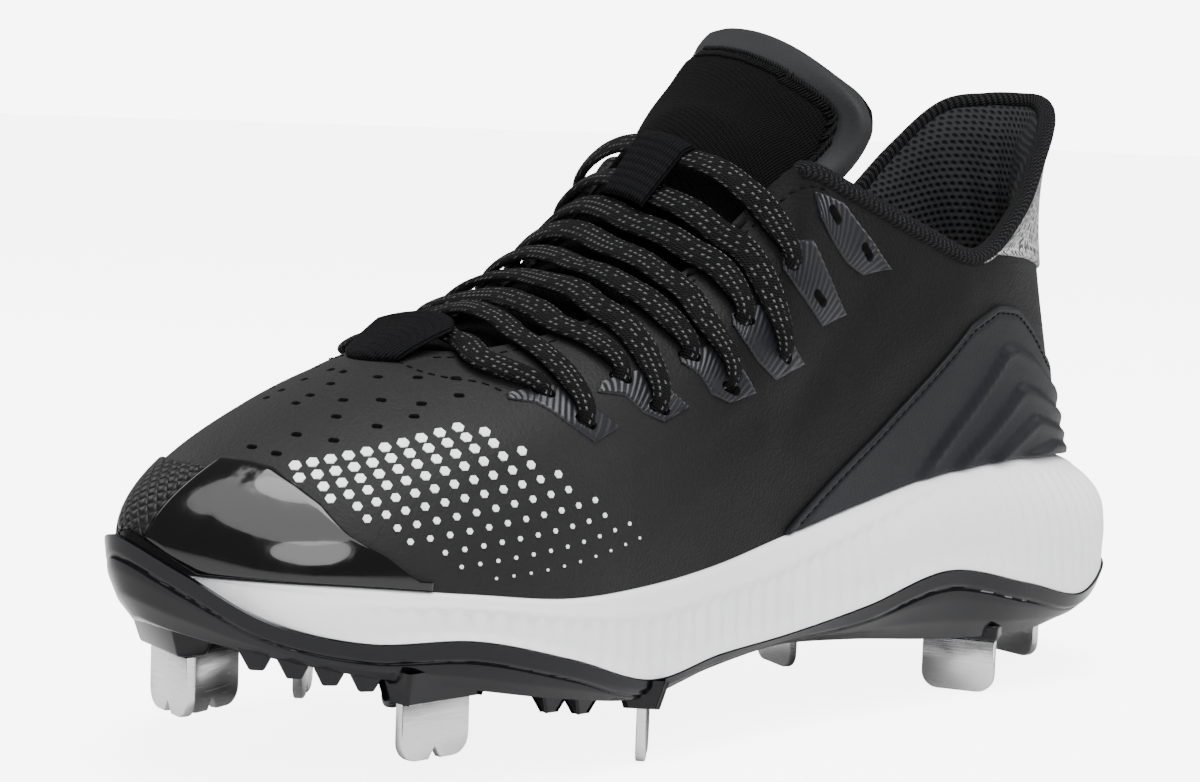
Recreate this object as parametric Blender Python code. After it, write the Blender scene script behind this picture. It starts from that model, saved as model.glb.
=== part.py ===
# Left baseball cleat with a hollow upper, a foam midsole, a moulded stud plate and nine steel studs.
# Frame in metres: +X runs from heel to toe, +Y to the little-toe side, +Z up from the heel studs' tips.

import math

import bpy
import bmesh
import numpy as np
from mathutils import Matrix, Vector

# Driving dimensions of the sole
SHOE_LENGTH = 0.300
BALL_WIDTH = 0.103
HEEL_WIDTH = 0.077
SOLE_HEIGHT = 0.045
TOE_SPRING = 0.011
HEEL_LEDGE = 0.017
FOOTBED_DISH = 0.0015
INSOLE_THICKNESS = 0.0038
PLATE_WALL = 0.0016
PLATE_THICKNESS = 0.0024
PLATE_TUCK = 0.011

# Driving dimensions of the upper
COLLAR_HEIGHT = 0.095
INSTEP_HEIGHT = 0.0765
COLLAR_WIDTH = 0.069
UPPER_WALL = 0.0022
TONGUE_THICKNESS = 0.0065
TONGUE_RISE = 0.033
TONGUE_WIDTH = 0.070

# Driving dimensions of the pieces laid on the upper
GUARD_THICKNESS = 0.0009
GUARD_HEIGHT = 0.0225
TIP_HEIGHT = 0.0205
COUNTER_HEIGHT = 0.0400
COUNTER_RIM = 0.0010
COUNTER_STEP = 0.0007
KNIT_THICKNESS = 0.0007
KNIT_FOOT = 0.0485
STRIP_WIDTH = 0.016
STRIP_THICKNESS = 0.0010
PADDING_THICKNESS = 0.0042
BINDING_HEIGHT = 0.0017
LACE_WIDTH = 0.0062
LACE_THICKNESS = 0.0018
LACE_ARCH = 0.42
LACE_GAP = 0.0009

# Driving dimensions of the studs
STUD_LENGTH = 0.0132
STUD_WIDTH = 0.0185
STUD_THICKNESS = 0.0022
STUD_CORNER = 0.0042
POD_MARGIN = 0.0022
POD_END_MARGIN = 0.0008
POD_FLARE = 0.30
POD_SEAT = 0.0008

# Driving dimensions of the plate's lugs
LUG_LENGTH = 0.0085
LUG_WIDTH = 0.0055
LUG_HEIGHT = 0.0032
LUG_INSET = 0.0075
LUG_TIP = 0.35

# Clearances
CLEARANCE = 0.0003
OVERLAY_GAP = 0.00045
TONGUE_GAP = 0.0010

COLUMNS_PER_ROW = 2

# One row for each cross-section from heel to toe, as shares of the named sizes:
# along = SHOE_LENGTH; outer, inner = half the local width; ledge = HEEL_LEDGE;
# top, parting, low = SOLE_HEIGHT over the studs; tuck = PLATE_TUCK; hidden = foam behind the toe wall.
SOLE_COLUMNS = ("along", "outer", "inner", "ledge", "top", "parting", "low", "tuck", "hidden")
SOLE_ROWS = (
    (0.000, 0.00, 0.00, 1.00, 0.918, 0.396, 0.173, 1.00, 0.0),
    (0.013, 0.42, 0.44, 1.00, 0.929, 0.373, 0.150, 1.00, 0.0),
    (0.047, 0.735, 0.765, 0.96, 0.951, 0.315, 0.107, 0.95, 0.0),
    (0.107, 0.935, 0.95, 0.80, 0.984, 0.215, 0.050, 0.70, 0.0),
    (0.187, 1.015, 0.975, 0.62, 0.996, 0.330, 0.030, 0.50, 0.0),
    (0.280, 0.995, 0.905, 0.45, 0.940, 0.444, 0.055, 0.50, 0.0),
    (0.373, 0.93, 0.81, 0.30, 0.829, 0.307, 0.107, 0.60, 0.0),
    (0.467, 0.895, 0.765, 0.19, 0.718, 0.224, 0.140, 0.60, 0.0),
    (0.553, 0.917, 0.80, 0.14, 0.629, 0.190, 0.096, 0.45, 0.0),
    (0.633, 0.963, 0.87, 0.12, 0.584, 0.133, 0.036, 0.25, 0.0),
    (0.713, 1.00, 0.94, 0.115, 0.573, 0.290, 0.096, 0.30, 0.0),
    (0.793, 0.961, 0.893, 0.115, 0.606, 0.395, 0.162, 0.35, 0.0),
    (0.867, 0.825, 0.767, 0.13, 0.598, 0.352, 0.187, 0.45, 0.0),
    (0.923, 0.612, 0.490, 0.15, 0.556, 0.384, 0.205, 0.50, 0.6),
    (0.963, 0.34, 0.215, 0.22, 0.509, 0.531, 0.225, 0.52, 1.6),
    (0.987, 0.05, 0.05, 0.26, 0.484, 0.640, 0.260, 0.55, 1.6),
)

# The collar and throat edge that each section rises to, and how its profile leaves and arrives:
# along = SHOE_LENGTH; outer, inner = half of COLLAR_WIDTH; rises over the heel's foam = COLLAR_HEIGHT,
# turning to INSTEP_HEIGHT at the throat; low and high handles: up and down as shares of the profile's
# own rise, out as shares of half BALL_WIDTH.
UPPER_COLUMNS = (
    "along", "outer", "inner", "rise_outer", "rise_inner", "low_up", "low_out", "high_down", "high_out",
)
UPPER_ROWS = (
    (0.075, 0.00, 0.00, 0.980, 0.980, 0.32, 0.03, 0.34, -0.20),
    (0.083, 0.27, -0.30, 0.972, 0.978, 0.32, 0.03, 0.34, -0.195),
    (0.106, 0.51, -0.60, 0.925, 0.950, 0.32, 0.03, 0.33, -0.18),
    (0.143, 0.71, -0.85, 0.830, 0.815, 0.36, 0.05, 0.36, -0.10),
    (0.187, 0.875, -0.945, 0.697, 0.680, 0.38, 0.06, 0.36, -0.01),
    (0.250, 1.00, -0.985, 0.594, 0.597, 0.36, 0.07, 0.32, 0.02),
    (0.323, 1.04, -0.985, 0.711, 0.711, 0.34, 0.07, 0.33, 0.03),
    (0.400, 1.02, -0.96, 0.895, 0.895, 0.31, 0.06, 0.34, 0.08),
    (0.453, 0.96, -0.94, 0.985, 0.985, 0.27, 0.04, 0.33, 0.17),
    (0.490, 0.82, -0.85, 0.863, 0.890, 0.27, 0.03, 0.27, 0.23),
    (0.543, 0.725, -0.78, 0.673, 0.700, 0.33, 0.02, 0.22, 0.27),
    (0.603, 0.64, -0.71, 0.562, 0.580, 0.36, 0.02, 0.18, 0.31),
    (0.663, 0.55, -0.62, 0.484, 0.490, 0.38, 0.02, 0.16, 0.35),
    (0.713, 0.42, -0.49, 0.444, 0.446, 0.38, 0.03, 0.17, 0.43),
    (0.743, 0.23, -0.28, 0.438, 0.438, 0.40, 0.12, 0.20, 0.47),
    (0.757, -0.02, -0.02, 0.444, 0.444, 0.465, 0.16, 0.29, 0.54),
)

# The pieces laid on the upper. Top edge of the heel counter at each half row from the heel to its
# front tip, of COUNTER_HEIGHT:
COUNTER_TOP = (0.53, 0.525, 0.52, 0.53, 0.54, 0.57, 0.66, 0.82, 0.95, 1.00, 0.93, 0.67, 0.42, 0.22, 0.05)
COUNTER_PLACES = (
    0.0, 0.5, 1.0, 1.5, 2.0, 2.5, 3.0, 3.25, 3.5, 3.75, 4.0, 4.25, 4.5, 4.75, 5.0, 5.25, 5.5, 6.0, 6.5, 7.0,
)
# Its rib lines from the top down: height as a share of the top edge, the place where each turns down, and
# the place where it meets the foam.
COUNTER_RIBS = ((0.73, 4.25, 5.3), (0.48, 3.9, 4.85), (0.28, 3.6, 4.4), (0.14, 3.1, 3.9))
# Top edge of the glossy toe guard, of GUARD_HEIGHT, and of the textured toe tip, of TIP_HEIGHT:
GUARD_PLACES = (11.5, 12.0, 12.5, 13.0, 13.5, 14.0, 14.3, 14.55)
GUARD_TOP = (0.05, 0.34, 0.54, 0.76, 0.90, 1.00, 1.00, 0.98)
TIP_PLACES = (14.65, 15.0, 15.35, 15.7, 16.0, 16.5, 17.0, 17.5, 18.0)
TIP_TOP = (1.00, 1.00, 1.00, 0.98, 0.96, 0.90, 0.78, 0.56, 0.26)
# Lower edge of the knit heel panel at each half row from the middle of the heel forward, of KNIT_FOOT:
KNIT_LOW = (1.00, 1.00, 1.00, 1.00, 1.00, 1.00, 1.01, 1.02, 1.04, 1.08)
KNIT_TOP = 0.975
# The collar's padding: how far up the upper's profile, and its thickness there of PADDING_THICKNESS
PADDING_PROFILE = ((0.46, 0.15), (0.60, 0.80), (0.76, 1.0), (0.90, 0.75), (0.97, 0.30))
# Last places of the padding, and of the binding on the big-toe and little-toe sides
PADDING_END = 7.5
BINDING_ENDS = (-7.5, 8.0)

# Laces from the little-toe side's eyelet to the big-toe side's: how far across (1 and -1 are the throat's
# edges, and beyond them the lace runs down the upper) and the ring's place there.
LACES = (
    ((1.66, 11.6), (1.25, 12.85), (0.6, 13.6), (-0.6, 13.6), (-1.25, 12.85), (-1.66, 11.6)),
    ((1.94, 10.8), (1.35, 11.9), (0.95, 12.4), (0.25, 12.7), (-0.9, 12.4), (-1.35, 11.9), (-1.94, 10.8)),
    ((1.66, 10.7), (1.30, 11.35), (1.0, 11.8), (0.3, 12.2), (-0.9, 11.85), (-1.30, 11.35), (-1.66, 10.7)),
    ((1.94, 9.9), (1.40, 10.8), (1.0, 11.25), (0.2, 11.6), (-0.9, 11.3), (-1.40, 10.8), (-1.94, 9.9)),
    ((1.66, 9.8), (1.25, 10.5), (0.8, 10.9), (0.25, 11.15), (-0.9, 10.85), (-1.25, 10.5), (-1.66, 9.8)),
    ((1.96, 8.8), (1.50, 9.8), (1.0, 10.3), (0.3, 10.72), (-0.9, 10.4), (-1.50, 9.8), (-1.96, 8.8)),
    ((1.64, 9.0), (1.30, 9.5), (0.9, 9.9), (0.25, 10.3), (-0.9, 9.95), (-1.30, 9.5), (-1.64, 9.0)),
    ((1.92, 7.9), (1.45, 8.9), (1.0, 9.5), (0.3, 9.88), (-0.9, 9.55), (-1.45, 8.95), (-1.92, 7.9)),
    ((1.46, 8.2), (1.20, 8.65), (0.85, 9.05), (0.25, 9.45), (-0.9, 9.1), (-1.20, 8.65), (-1.46, 8.2)),
)
LACE_STEPS = 12
# How far up the upper's profile its rows of points lie
PROFILE_STEPS = (0.0, 0.09, 0.19, 0.30, 0.42, 0.54, 0.66, 0.78, 0.89, 1.0)

# Studs: name, along of SHOE_LENGTH, across of half BALL_WIDTH, turn of the plate's face in degrees from +X,
# lift as a share of TOE_SPRING, and whether its lower edge has the notch.
STUDS = (
    ("stud_heel_outer", 0.220, 0.51, 28.0, 0.0, False),
    ("stud_heel_inner", 0.274, -0.44, -16.0, 0.0, False),
    ("stud_heel_rear", 0.050, -0.02, -5.0, 0.0, False),
    ("stud_rear_outer", 0.612, 0.777, 136.0, 0.0, True),
    ("stud_rear_inner", 0.655, -0.62, -60.0, 0.0, True),
    ("stud_front_outer", 0.805, 0.77, 94.0, 0.60, True),
    ("stud_side_inner", 0.734, -0.742, -43.0, 0.34, True),
    ("stud_front_inner", 0.855, -0.42, -71.0, 0.66, True),
    ("stud_toe", 0.925, -0.06, -8.0, 1.12, True),
)

# Places along the ring of the lugs under the forefoot's edge, first on the little-toe side
LUG_PLACES = (9.6, 10.0, 11.95, 12.35, 12.75, 13.2, 17.6, 18.0, 18.4, 18.8, 19.2)


def smoothstep(start, end, value):
    """From 0 at the start to 1 at the end, which may be the lower of the two."""
    share = min(max((value - start) / (end - start), 0.0), 1.0)
    return share * share * (3.0 - 2.0 * share)


def local_half_width(along):
    blend = smoothstep(0.25, 0.65, along)
    return (HEEL_WIDTH + (BALL_WIDTH - HEEL_WIDTH) * blend) / 2.0


def spring_lift(along):
    return TOE_SPRING * max((along - 0.70) / 0.30, 0.0) ** 2


def sole_station(row, side):
    values = dict(zip(SOLE_COLUMNS, row))
    along = values["along"]
    width = local_half_width(along)
    across = values["outer"] if side > 0 else values["inner"] * (1.0 if along > 0.99 else -1.0)
    base = STUD_LENGTH + spring_lift(along)
    return np.array((
        along * SHOE_LENGTH,
        across * width,
        values["ledge"] * HEEL_LEDGE,
        base + values["top"] * SOLE_HEIGHT,
        base + values["parting"] * SOLE_HEIGHT,
        base + values["low"] * SOLE_HEIGHT,
        values["tuck"] * PLATE_TUCK,
        values["hidden"],
    ))


def edge_height(along):
    return COLLAR_HEIGHT + (INSTEP_HEIGHT - COLLAR_HEIGHT) * smoothstep(0.20, 0.45, along)


def upper_station(row, side):
    values = dict(zip(UPPER_COLUMNS, row))
    along = values["along"]
    rise = values["rise_outer"] if side > 0 else values["rise_inner"]
    across = values["outer"] if side > 0 else values["inner"]
    heel_top = STUD_LENGTH + SOLE_HEIGHT * SOLE_ROWS[0][SOLE_COLUMNS.index("top")]
    return np.array((
        along * SHOE_LENGTH,
        across * COLLAR_WIDTH / 2.0,
        heel_top + rise * edge_height(along),
        values["low_up"],
        values["low_out"] * BALL_WIDTH / 2.0,
        values["high_down"],
        values["high_out"] * BALL_WIDTH / 2.0,
    ))


LAST_ROW = len(SOLE_ROWS) - 1
STATIONS = 2 * LAST_ROW
UP = np.array((0.0, 0.0, 1.0))


def ring_of(rows, station):
    outer_side = [station(row, 1) for row in rows]
    inner_side = [station(row, -1) for row in rows[1:-1]]
    return outer_side + inner_side[::-1]


SOLE_RING = ring_of(SOLE_ROWS, sole_station)
UPPER_RING = ring_of(UPPER_ROWS, upper_station)


def along_ring(ring, place):
    """Smooth closed curve through the ring's stations: 0 is the heel, LAST_ROW the toe."""
    index = math.floor(place)
    share = place - index
    before, start, end, after = (ring[(index + step) % len(ring)] for step in (-1, 0, 1, 2))
    return 0.5 * (
        2.0 * start
        + (end - before) * share
        + (2.0 * before - 5.0 * start + 4.0 * end - after) * share ** 2
        + (3.0 * start - before - 3.0 * end + after) * share ** 3
    )


def inner_place(row_place):
    """The place on the big-toe side that faces a place on the little-toe side."""
    return STATIONS - row_place


def outline_normal(place):
    step = 0.05
    run = along_ring(SOLE_RING, place + step)[:2] - along_ring(SOLE_RING, place - step)[:2]
    normal = np.array((-run[1], run[0], 0.0))
    return normal / np.linalg.norm(normal)


def outline_point(place, out, height):
    """A point at a distance out from the sole's outline, at a height."""
    flat = along_ring(SOLE_RING, place)[:2]
    return np.array((flat[0], flat[1], height)) + outline_normal(place) * out


def sole_values(place):
    return dict(zip(("ledge", "top", "parting", "low", "tuck", "hidden"), along_ring(SOLE_RING, place)[2:]))


def upper_point(place, share):
    """The upper's outer surface: share runs from the foam, 0, to the collar or throat edge, 1."""
    sole = sole_values(place)
    start = outline_point(place, -sole["ledge"], sole["top"] + CLEARANCE)
    edge = along_ring(UPPER_RING, place)
    end = edge[:3]
    rise = end[2] - start[2]
    out = outline_normal(place)
    low_handle = start + UP * rise * edge[3] + out * edge[4]
    high_handle = end - UP * rise * edge[5] + out * edge[6]
    rest = 1.0 - share
    return (
        start * rest ** 3
        + low_handle * 3.0 * rest ** 2 * share
        + high_handle * 3.0 * rest * share ** 2
        + end * share ** 3
    )


def upper_normal(place, share):
    step = 0.02
    around = upper_point(place + step, share) - upper_point(place - step, share)
    low = max(share - step, 0.0)
    high = min(share + step, 1.0)
    upward = upper_point(place, high) - upper_point(place, low)
    normal = np.cross(upward, around)
    return normal / np.linalg.norm(normal)


def upper_offset(place, share, out):
    return upper_point(place, share) + upper_normal(place, share) * out


def share_at_height(place, height):
    """How far up its profile the upper reaches a height over the foam."""
    base = upper_point(place, 0.0)[2]
    low, high = 0.0, 1.0
    for _ in range(30):
        middle = (low + high) / 2.0
        if upper_point(place, middle)[2] - base < height:
            low = middle
        else:
            high = middle
    return (low + high) / 2.0


def material(name, color, roughness, metallic=0.0):
    made = bpy.data.materials.new(name)
    made.use_nodes = True
    shader = made.node_tree.nodes["Principled BSDF"]
    shader.inputs["Base Color"].default_value = (*color, 1.0)
    shader.inputs["Roughness"].default_value = roughness
    shader.inputs["Metallic"].default_value = metallic
    made.diffuse_color = (*color, 1.0)
    return made


def finish(name, mesh, finish_material, parent, sharp_angle=40.0):
    made = bpy.data.objects.new(name, mesh)
    bpy.context.scene.collection.objects.link(made)
    made.parent = parent
    mesh.materials.append(finish_material)
    mesh.shade_smooth()
    mesh.set_sharp_from_angle(angle=math.radians(sharp_angle))
    return made


def mesh_from(name, bm):
    bmesh.ops.recalc_face_normals(bm, faces=bm.faces)
    bmesh.ops.triangulate(bm, faces=bm.faces, quad_method="SHORT_EDGE")
    mesh = bpy.data.meshes.new(name)
    bm.to_mesh(mesh)
    bm.free()
    return mesh


def add_points(bm, points):
    return [bm.verts.new(Vector(point)) for point in points]


def join_loops(bm, first, second, closed=True):
    """Bridges two rows of points with a strip of faces."""
    count = len(first)
    for index in range(count if closed else count - 1):
        after = (index + 1) % count
        bm.faces.new((first[index], first[after], second[after], second[index]))


def close_with_ladder(bm, loop, rungs, sag):
    """Closes a loop that runs heel, outer side, toe, inner side with rows from side to side."""
    half = len(loop) // 2
    rows = []
    for index in range(1, half):
        left = loop[index]
        right = loop[len(loop) - index]
        row = [left]
        for rung in range(1, rungs):
            share = rung / rungs
            point = left.co.lerp(right.co, share)
            point.z += sag * 4.0 * share * (1.0 - share)
            row.append(bm.verts.new(point))
        rows.append(row + [right])
    for row, following in zip(rows, rows[1:]):
        join_loops(bm, row, following, closed=False)
    for end, row in ((loop[0], rows[0]), (loop[half], rows[-1])):
        for index in range(rungs):
            bm.faces.new((end, row[index], row[index + 1]))


def shell(name, outer, inner, closed):
    """A wall between two grids of points, each a list of rows from the bottom up."""
    bm = bmesh.new()
    outer_rows = [add_points(bm, row) for row in outer]
    inner_rows = [add_points(bm, row) for row in inner]
    for rows in (outer_rows, inner_rows):
        for row, following in zip(rows, rows[1:]):
            join_loops(bm, row, following, closed)
    join_loops(bm, outer_rows[0], inner_rows[0], closed)
    join_loops(bm, outer_rows[-1], inner_rows[-1], closed)
    if not closed:
        for end in (0, -1):
            outer_end = [row[end] for row in outer_rows]
            inner_end = [row[end] for row in inner_rows]
            join_loops(bm, outer_end, inner_end, closed=False)
    return mesh_from(name, bm)


def places_between(first, last):
    steps = round((last - first) * COLUMNS_PER_ROW)
    return [first + index / COLUMNS_PER_ROW for index in range(steps + 1)]


def sole_places(per_row=COLUMNS_PER_ROW):
    return [index / per_row for index in range(STATIONS * per_row)]


def plate_sections(values):
    """Out and height of the stud plate's section, from its floor over the wall and down to its underside."""
    rim = values["parting"]
    low = values["low"]
    tuck = values["tuck"]
    drop = rim - low
    band = (-0.12 * tuck, rim - 0.40 * drop)
    knee_height = min(band[1] + 0.5 * PLATE_WALL, values["top"] - 0.6 * PLATE_WALL)
    return {
        "floor": (-tuck - PLATE_WALL, low + PLATE_THICKNESS),
        "knee": (band[0] - 1.3 * PLATE_WALL, knee_height),
        "rim_inner": (-PLATE_WALL, rim),
        "rim_outer": (0.0, rim),
        "band": band,
        "shoulder": (-0.45 * tuck, rim - 0.72 * drop),
        "underside": (-tuck, low),
    }


def loop_at(bm, section_of, per_row=COLUMNS_PER_ROW):
    points = []
    for place in sole_places(per_row):
        out, height = section_of(sole_values(place))
        points.append(outline_point(place, out, height))
    return add_points(bm, points)


def plate_low_at(distance):
    """Height of the plate's underside at a distance from the heel."""
    low, high = 0.0, float(LAST_ROW)
    for _ in range(30):
        middle = (low + high) / 2.0
        if outline_point(middle, -sole_values(middle)["tuck"], 0.0)[0] < distance:
            low = middle
        else:
            high = middle
    return sole_values(low)["low"]


def add_block(bm, centre, turn, foot, head, bottom):
    """A block that widens upwards into the plate: foot and head hold its half sizes at either end."""
    loops = []
    for half, height in ((foot, bottom), (head, None)):
        loop = []
        for side_x, side_y in ((-1, -1), (1, -1), (1, 1), (-1, 1)):
            x = centre[0] + side_x * half[0] * math.cos(turn) - side_y * half[1] * math.sin(turn)
            y = centre[1] + side_x * half[0] * math.sin(turn) + side_y * half[1] * math.cos(turn)
            z = plate_low_at(x) + POD_SEAT if height is None else height
            loop.append((x, y, z))
        loops.append(add_points(bm, loop))
    join_loops(bm, *loops)
    for loop in loops:
        bm.faces.new(loop)


def build_plate_blocks(parent):
    """The pods that hold the studs, and the lugs, for the plate to be joined with."""
    bm = bmesh.new()
    for _, along, across, turn, lift, _ in STUDS:
        centre = (along * SHOE_LENGTH, across * BALL_WIDTH / 2.0)
        bottom = STUD_LENGTH + lift * TOE_SPRING + CLEARANCE
        foot = (STUD_THICKNESS / 2.0 + POD_MARGIN, STUD_WIDTH / 2.0 + POD_END_MARGIN)
        flare = POD_FLARE * (plate_low_at(centre[0]) - bottom)
        head = (foot[0] + flare, foot[1] + 0.5 * flare)
        add_block(bm, centre, math.radians(turn), foot, head, bottom)
    for place in LUG_PLACES:
        centre = outline_point(place, -LUG_INSET, 0.0)
        out = outline_normal(place)
        head = (LUG_WIDTH / 2.0, LUG_LENGTH / 2.0)
        foot = (head[0] * LUG_TIP, head[1] * LUG_TIP)
        add_block(bm, centre, math.atan2(out[1], out[0]), foot, head, plate_low_at(centre[0]) - LUG_HEIGHT)
    made = bpy.data.objects.new("plate_blocks", mesh_from("plate_blocks", bm))
    bpy.context.scene.collection.objects.link(made)
    made.parent = parent
    made.hide_render = True
    made.display_type = "WIRE"
    return made


def build_stud_plate(parent, finish_material):
    bm = bmesh.new()
    names = ("floor", "knee", "rim_inner", "rim_outer", "band", "shoulder", "underside")
    loops = [loop_at(bm, lambda values, key=key: plate_sections(values)[key]) for key in names]
    for loop, following in zip(loops, loops[1:]):
        join_loops(bm, loop, following)
    close_with_ladder(bm, loops[0], 4, 0.0)
    close_with_ladder(bm, loops[-1], 4, 0.0)
    made = finish("stud_plate", mesh_from("stud_plate", bm), finish_material, parent, 30.0)
    joined = made.modifiers.new("blocks", "BOOLEAN")
    joined.operation = "UNION"
    joined.solver = "EXACT"
    joined.use_self = True
    joined.object = build_plate_blocks(parent)
    return made


def foam_sections(values):
    """Out and height of the foam's section, from the footbed over the side and down to its underside."""
    plate = plate_sections(values)
    top = values["top"]
    ledge = values["ledge"]
    seat = -ledge - UPPER_WALL
    hidden = min(max(values["hidden"], 0.0), 1.0)
    behind = plate["knee"][0] - CLEARANCE
    bottom = min(values["parting"] + CLEARANCE, top - 0.2 * PLATE_WALL)
    height = top - bottom
    shelf = 0.8 * ledge

    def side(out, drop):
        return (out + (min(out, behind) - out) * hidden, top - drop * height)

    knee_height = min(plate["knee"][1] + CLEARANCE, bottom - 0.1 * PLATE_WALL)
    return {
        "footbed": (seat - 0.0040, top - FOOTBED_DISH),
        "seat": (seat - 0.0015, top),
        "shelf": (-shelf, top),
        "shoulder": side(-0.42 * shelf, 0.17),
        "cheek": side(-0.10 * shelf, 0.38),
        "waist": side(0.0, 0.65),
        "heelside": side(-0.04 * shelf - 0.5 * CLEARANCE, 1.0),
        "over_rim": (min(plate["rim_inner"][0] - CLEARANCE, behind * hidden), bottom),
        "knee": (behind, knee_height),
        "underside": (plate["floor"][0] - CLEARANCE, plate["floor"][1] + CLEARANCE),
    }


def build_midsole(parent, finish_material):
    bm = bmesh.new()
    names = (
        "footbed", "seat", "shelf", "shoulder", "cheek", "waist", "heelside", "over_rim", "knee", "underside",
    )
    loops = [loop_at(bm, lambda values, key=key: foam_sections(values)[key]) for key in names]
    for loop, following in zip(loops, loops[1:]):
        join_loops(bm, loop, following)
    close_with_ladder(bm, loops[0], 4, 0.0)
    close_with_ladder(bm, loops[-1], 4, 0.0)
    return finish("midsole", mesh_from("midsole", bm), finish_material, parent, 35.0)


def build_insole(parent, finish_material):
    bm = bmesh.new()
    sections = (
        lambda foam: (foam["footbed"][0] - CLEARANCE, foam["footbed"][1] + CLEARANCE),
        lambda foam: (foam["seat"][0] + 0.3 * UPPER_WALL, foam["seat"][1] + 0.4 * FOOTBED_DISH),
        lambda foam: (foam["seat"][0] + 0.3 * UPPER_WALL, foam["footbed"][1] + INSOLE_THICKNESS),
    )
    loops = [loop_at(bm, lambda values, cut=cut: cut(foam_sections(values)), 1) for cut in sections]
    for loop, following in zip(loops, loops[1:]):
        join_loops(bm, loop, following)
    close_with_ladder(bm, loops[0], 4, 0.0)
    close_with_ladder(bm, loops[-1], 4, 0.0)
    return finish("insole", mesh_from("insole", bm), finish_material, parent, 30.0)


def build_upper(parent, finish_material):
    outer = [[upper_point(place, share) for place in sole_places()] for share in PROFILE_STEPS]
    inner = [[upper_offset(place, share, -UPPER_WALL) for place in sole_places()] for share in PROFILE_STEPS]
    foot = [upper_point(place, 0.0)[2] for place in sole_places()]
    for point, height in zip(inner[0], foot):
        point[2] = height
    return finish("upper", shell("upper", outer, inner, True), finish_material, parent, 50.0)


def stud_outline(notched):
    """Half-plane outline of a stud seen face on, from its top left corner round to its top right."""
    half = STUD_WIDTH / 2.0
    points = [(-half, STUD_LENGTH)]
    for side in (-1, 1):
        centre = (side * (half - STUD_CORNER), STUD_CORNER)
        turns = (180.0, 210.0, 240.0, 270.0) if side < 0 else (270.0, 300.0, 330.0, 360.0)
        for turn in turns:
            angle = math.radians(turn)
            points.append((
                centre[0] + STUD_CORNER * math.cos(angle),
                centre[1] + STUD_CORNER * math.sin(angle),
            ))
        if side < 0 and notched:
            notch = STUD_WIDTH * 0.09
            points += [(-notch, 0.0), (0.0, notch * 1.5), (notch, 0.0)]
    points.append((half, STUD_LENGTH))
    return points


def build_stud(name, along, across, turn, lift, notched, parent, finish_material):
    bm = bmesh.new()
    face = bm.faces.new([
        bm.verts.new((-STUD_THICKNESS / 2.0, point[0], point[1])) for point in stud_outline(notched)
    ])
    grown = bmesh.ops.extrude_face_region(bm, geom=[face])["geom"]
    moved = [item for item in grown if isinstance(item, bmesh.types.BMVert)]
    bmesh.ops.translate(bm, verts=moved, vec=(STUD_THICKNESS, 0.0, 0.0))
    made = finish(name, mesh_from(name, bm), finish_material, parent, 30.0)
    made.location = (along * SHOE_LENGTH, across * BALL_WIDTH / 2.0, lift * TOE_SPRING)
    made.rotation_euler = (0.0, 0.0, math.radians(turn))
    return made


TONGUE_ROWS = (8.5, 9.0, 9.5, 10.0, 10.5, 11.0, 11.5, 12.0, 12.5, 13.0)
TONGUE_TOE_PLACES = (13.4, 13.8, 14.2, 14.6, 15.0)
TONGUE_ARCH = 0.5
TONGUE_FOOT = 0.89
TONGUE_STEPS = 6


def tongue_anchor(place, share):
    return upper_offset(place, share, -UPPER_WALL - TONGUE_GAP)


def tongue_row(place):
    """Across the foot under the eyestays, from the outer to the inner side."""
    facing = inner_place(place)
    start, end = tongue_anchor(place, 1.0), tongue_anchor(facing, 1.0)
    start_foot, end_foot = tongue_anchor(place, TONGUE_FOOT), tongue_anchor(facing, TONGUE_FOOT)
    reach = np.linalg.norm(end - start) * TONGUE_ARCH
    start_pull = (start - start_foot) / np.linalg.norm(start - start_foot) * reach
    end_pull = (end - end_foot) / np.linalg.norm(end - end_foot) * reach
    row = [start_foot]
    for step in range(TONGUE_STEPS + 1):
        share = step / TONGUE_STEPS
        rest = 1.0 - share
        row.append(
            start * rest ** 3
            + (start + start_pull) * 3.0 * rest ** 2 * share
            + (end + end_pull) * 3.0 * rest * share ** 2
            + end * share ** 3
        )
    return row + [end_foot]


def tongue_toe_row(share, places):
    outer_side = [tongue_anchor(place, share) for place in places]
    inner_side = [tongue_anchor(inner_place(place), share) for place in places[:-1]]
    return outer_side + inner_side[::-1]


# The tongue's free part over the throat, from its top edge down: where its outer edge, middle and inner
# edge lie; along = SHOE_LENGTH, half = half TONGUE_WIDTH, rise over the throat's top corner = TONGUE_RISE.
TONGUE_FREE_COLUMNS = (
    "along_outer", "half_outer", "rise_outer", "along_middle", "rise_middle", "along_inner", "half_inner",
    "rise_inner",
)
TONGUE_FREE_ROWS = (
    (0.390, 1.03, 0.41, 0.363, 0.906, 0.347, -0.92, 1.00),
    (0.387, 1.02, 0.12, 0.407, 0.61, 0.393, -0.92, 0.66),
    (0.407, 0.88, -0.14, 0.450, 0.31, 0.437, -0.83, 0.25),
)


def tongue_free_row(row):
    """An arc through the row's outer edge, middle and inner edge."""
    values = dict(zip(TONGUE_FREE_COLUMNS, row))
    throat = along_ring(UPPER_RING, 8.0)[2]

    def point(along, half, rise):
        return np.array((along * SHOE_LENGTH, half * TONGUE_WIDTH / 2.0, throat + rise * TONGUE_RISE))

    outer = point(values["along_outer"], values["half_outer"], values["rise_outer"])
    middle = point(values["along_middle"], 0.0, values["rise_middle"])
    inner = point(values["along_inner"], values["half_inner"], values["rise_inner"])
    steps = TONGUE_STEPS + 2
    points = []
    for step in range(steps + 1):
        across = 1.0 - 2.0 * step / steps
        points.append(
            outer * across * (across + 1.0) / 2.0
            + middle * (1.0 - across ** 2)
            + inner * across * (across - 1.0) / 2.0
        )
    return points


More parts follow.
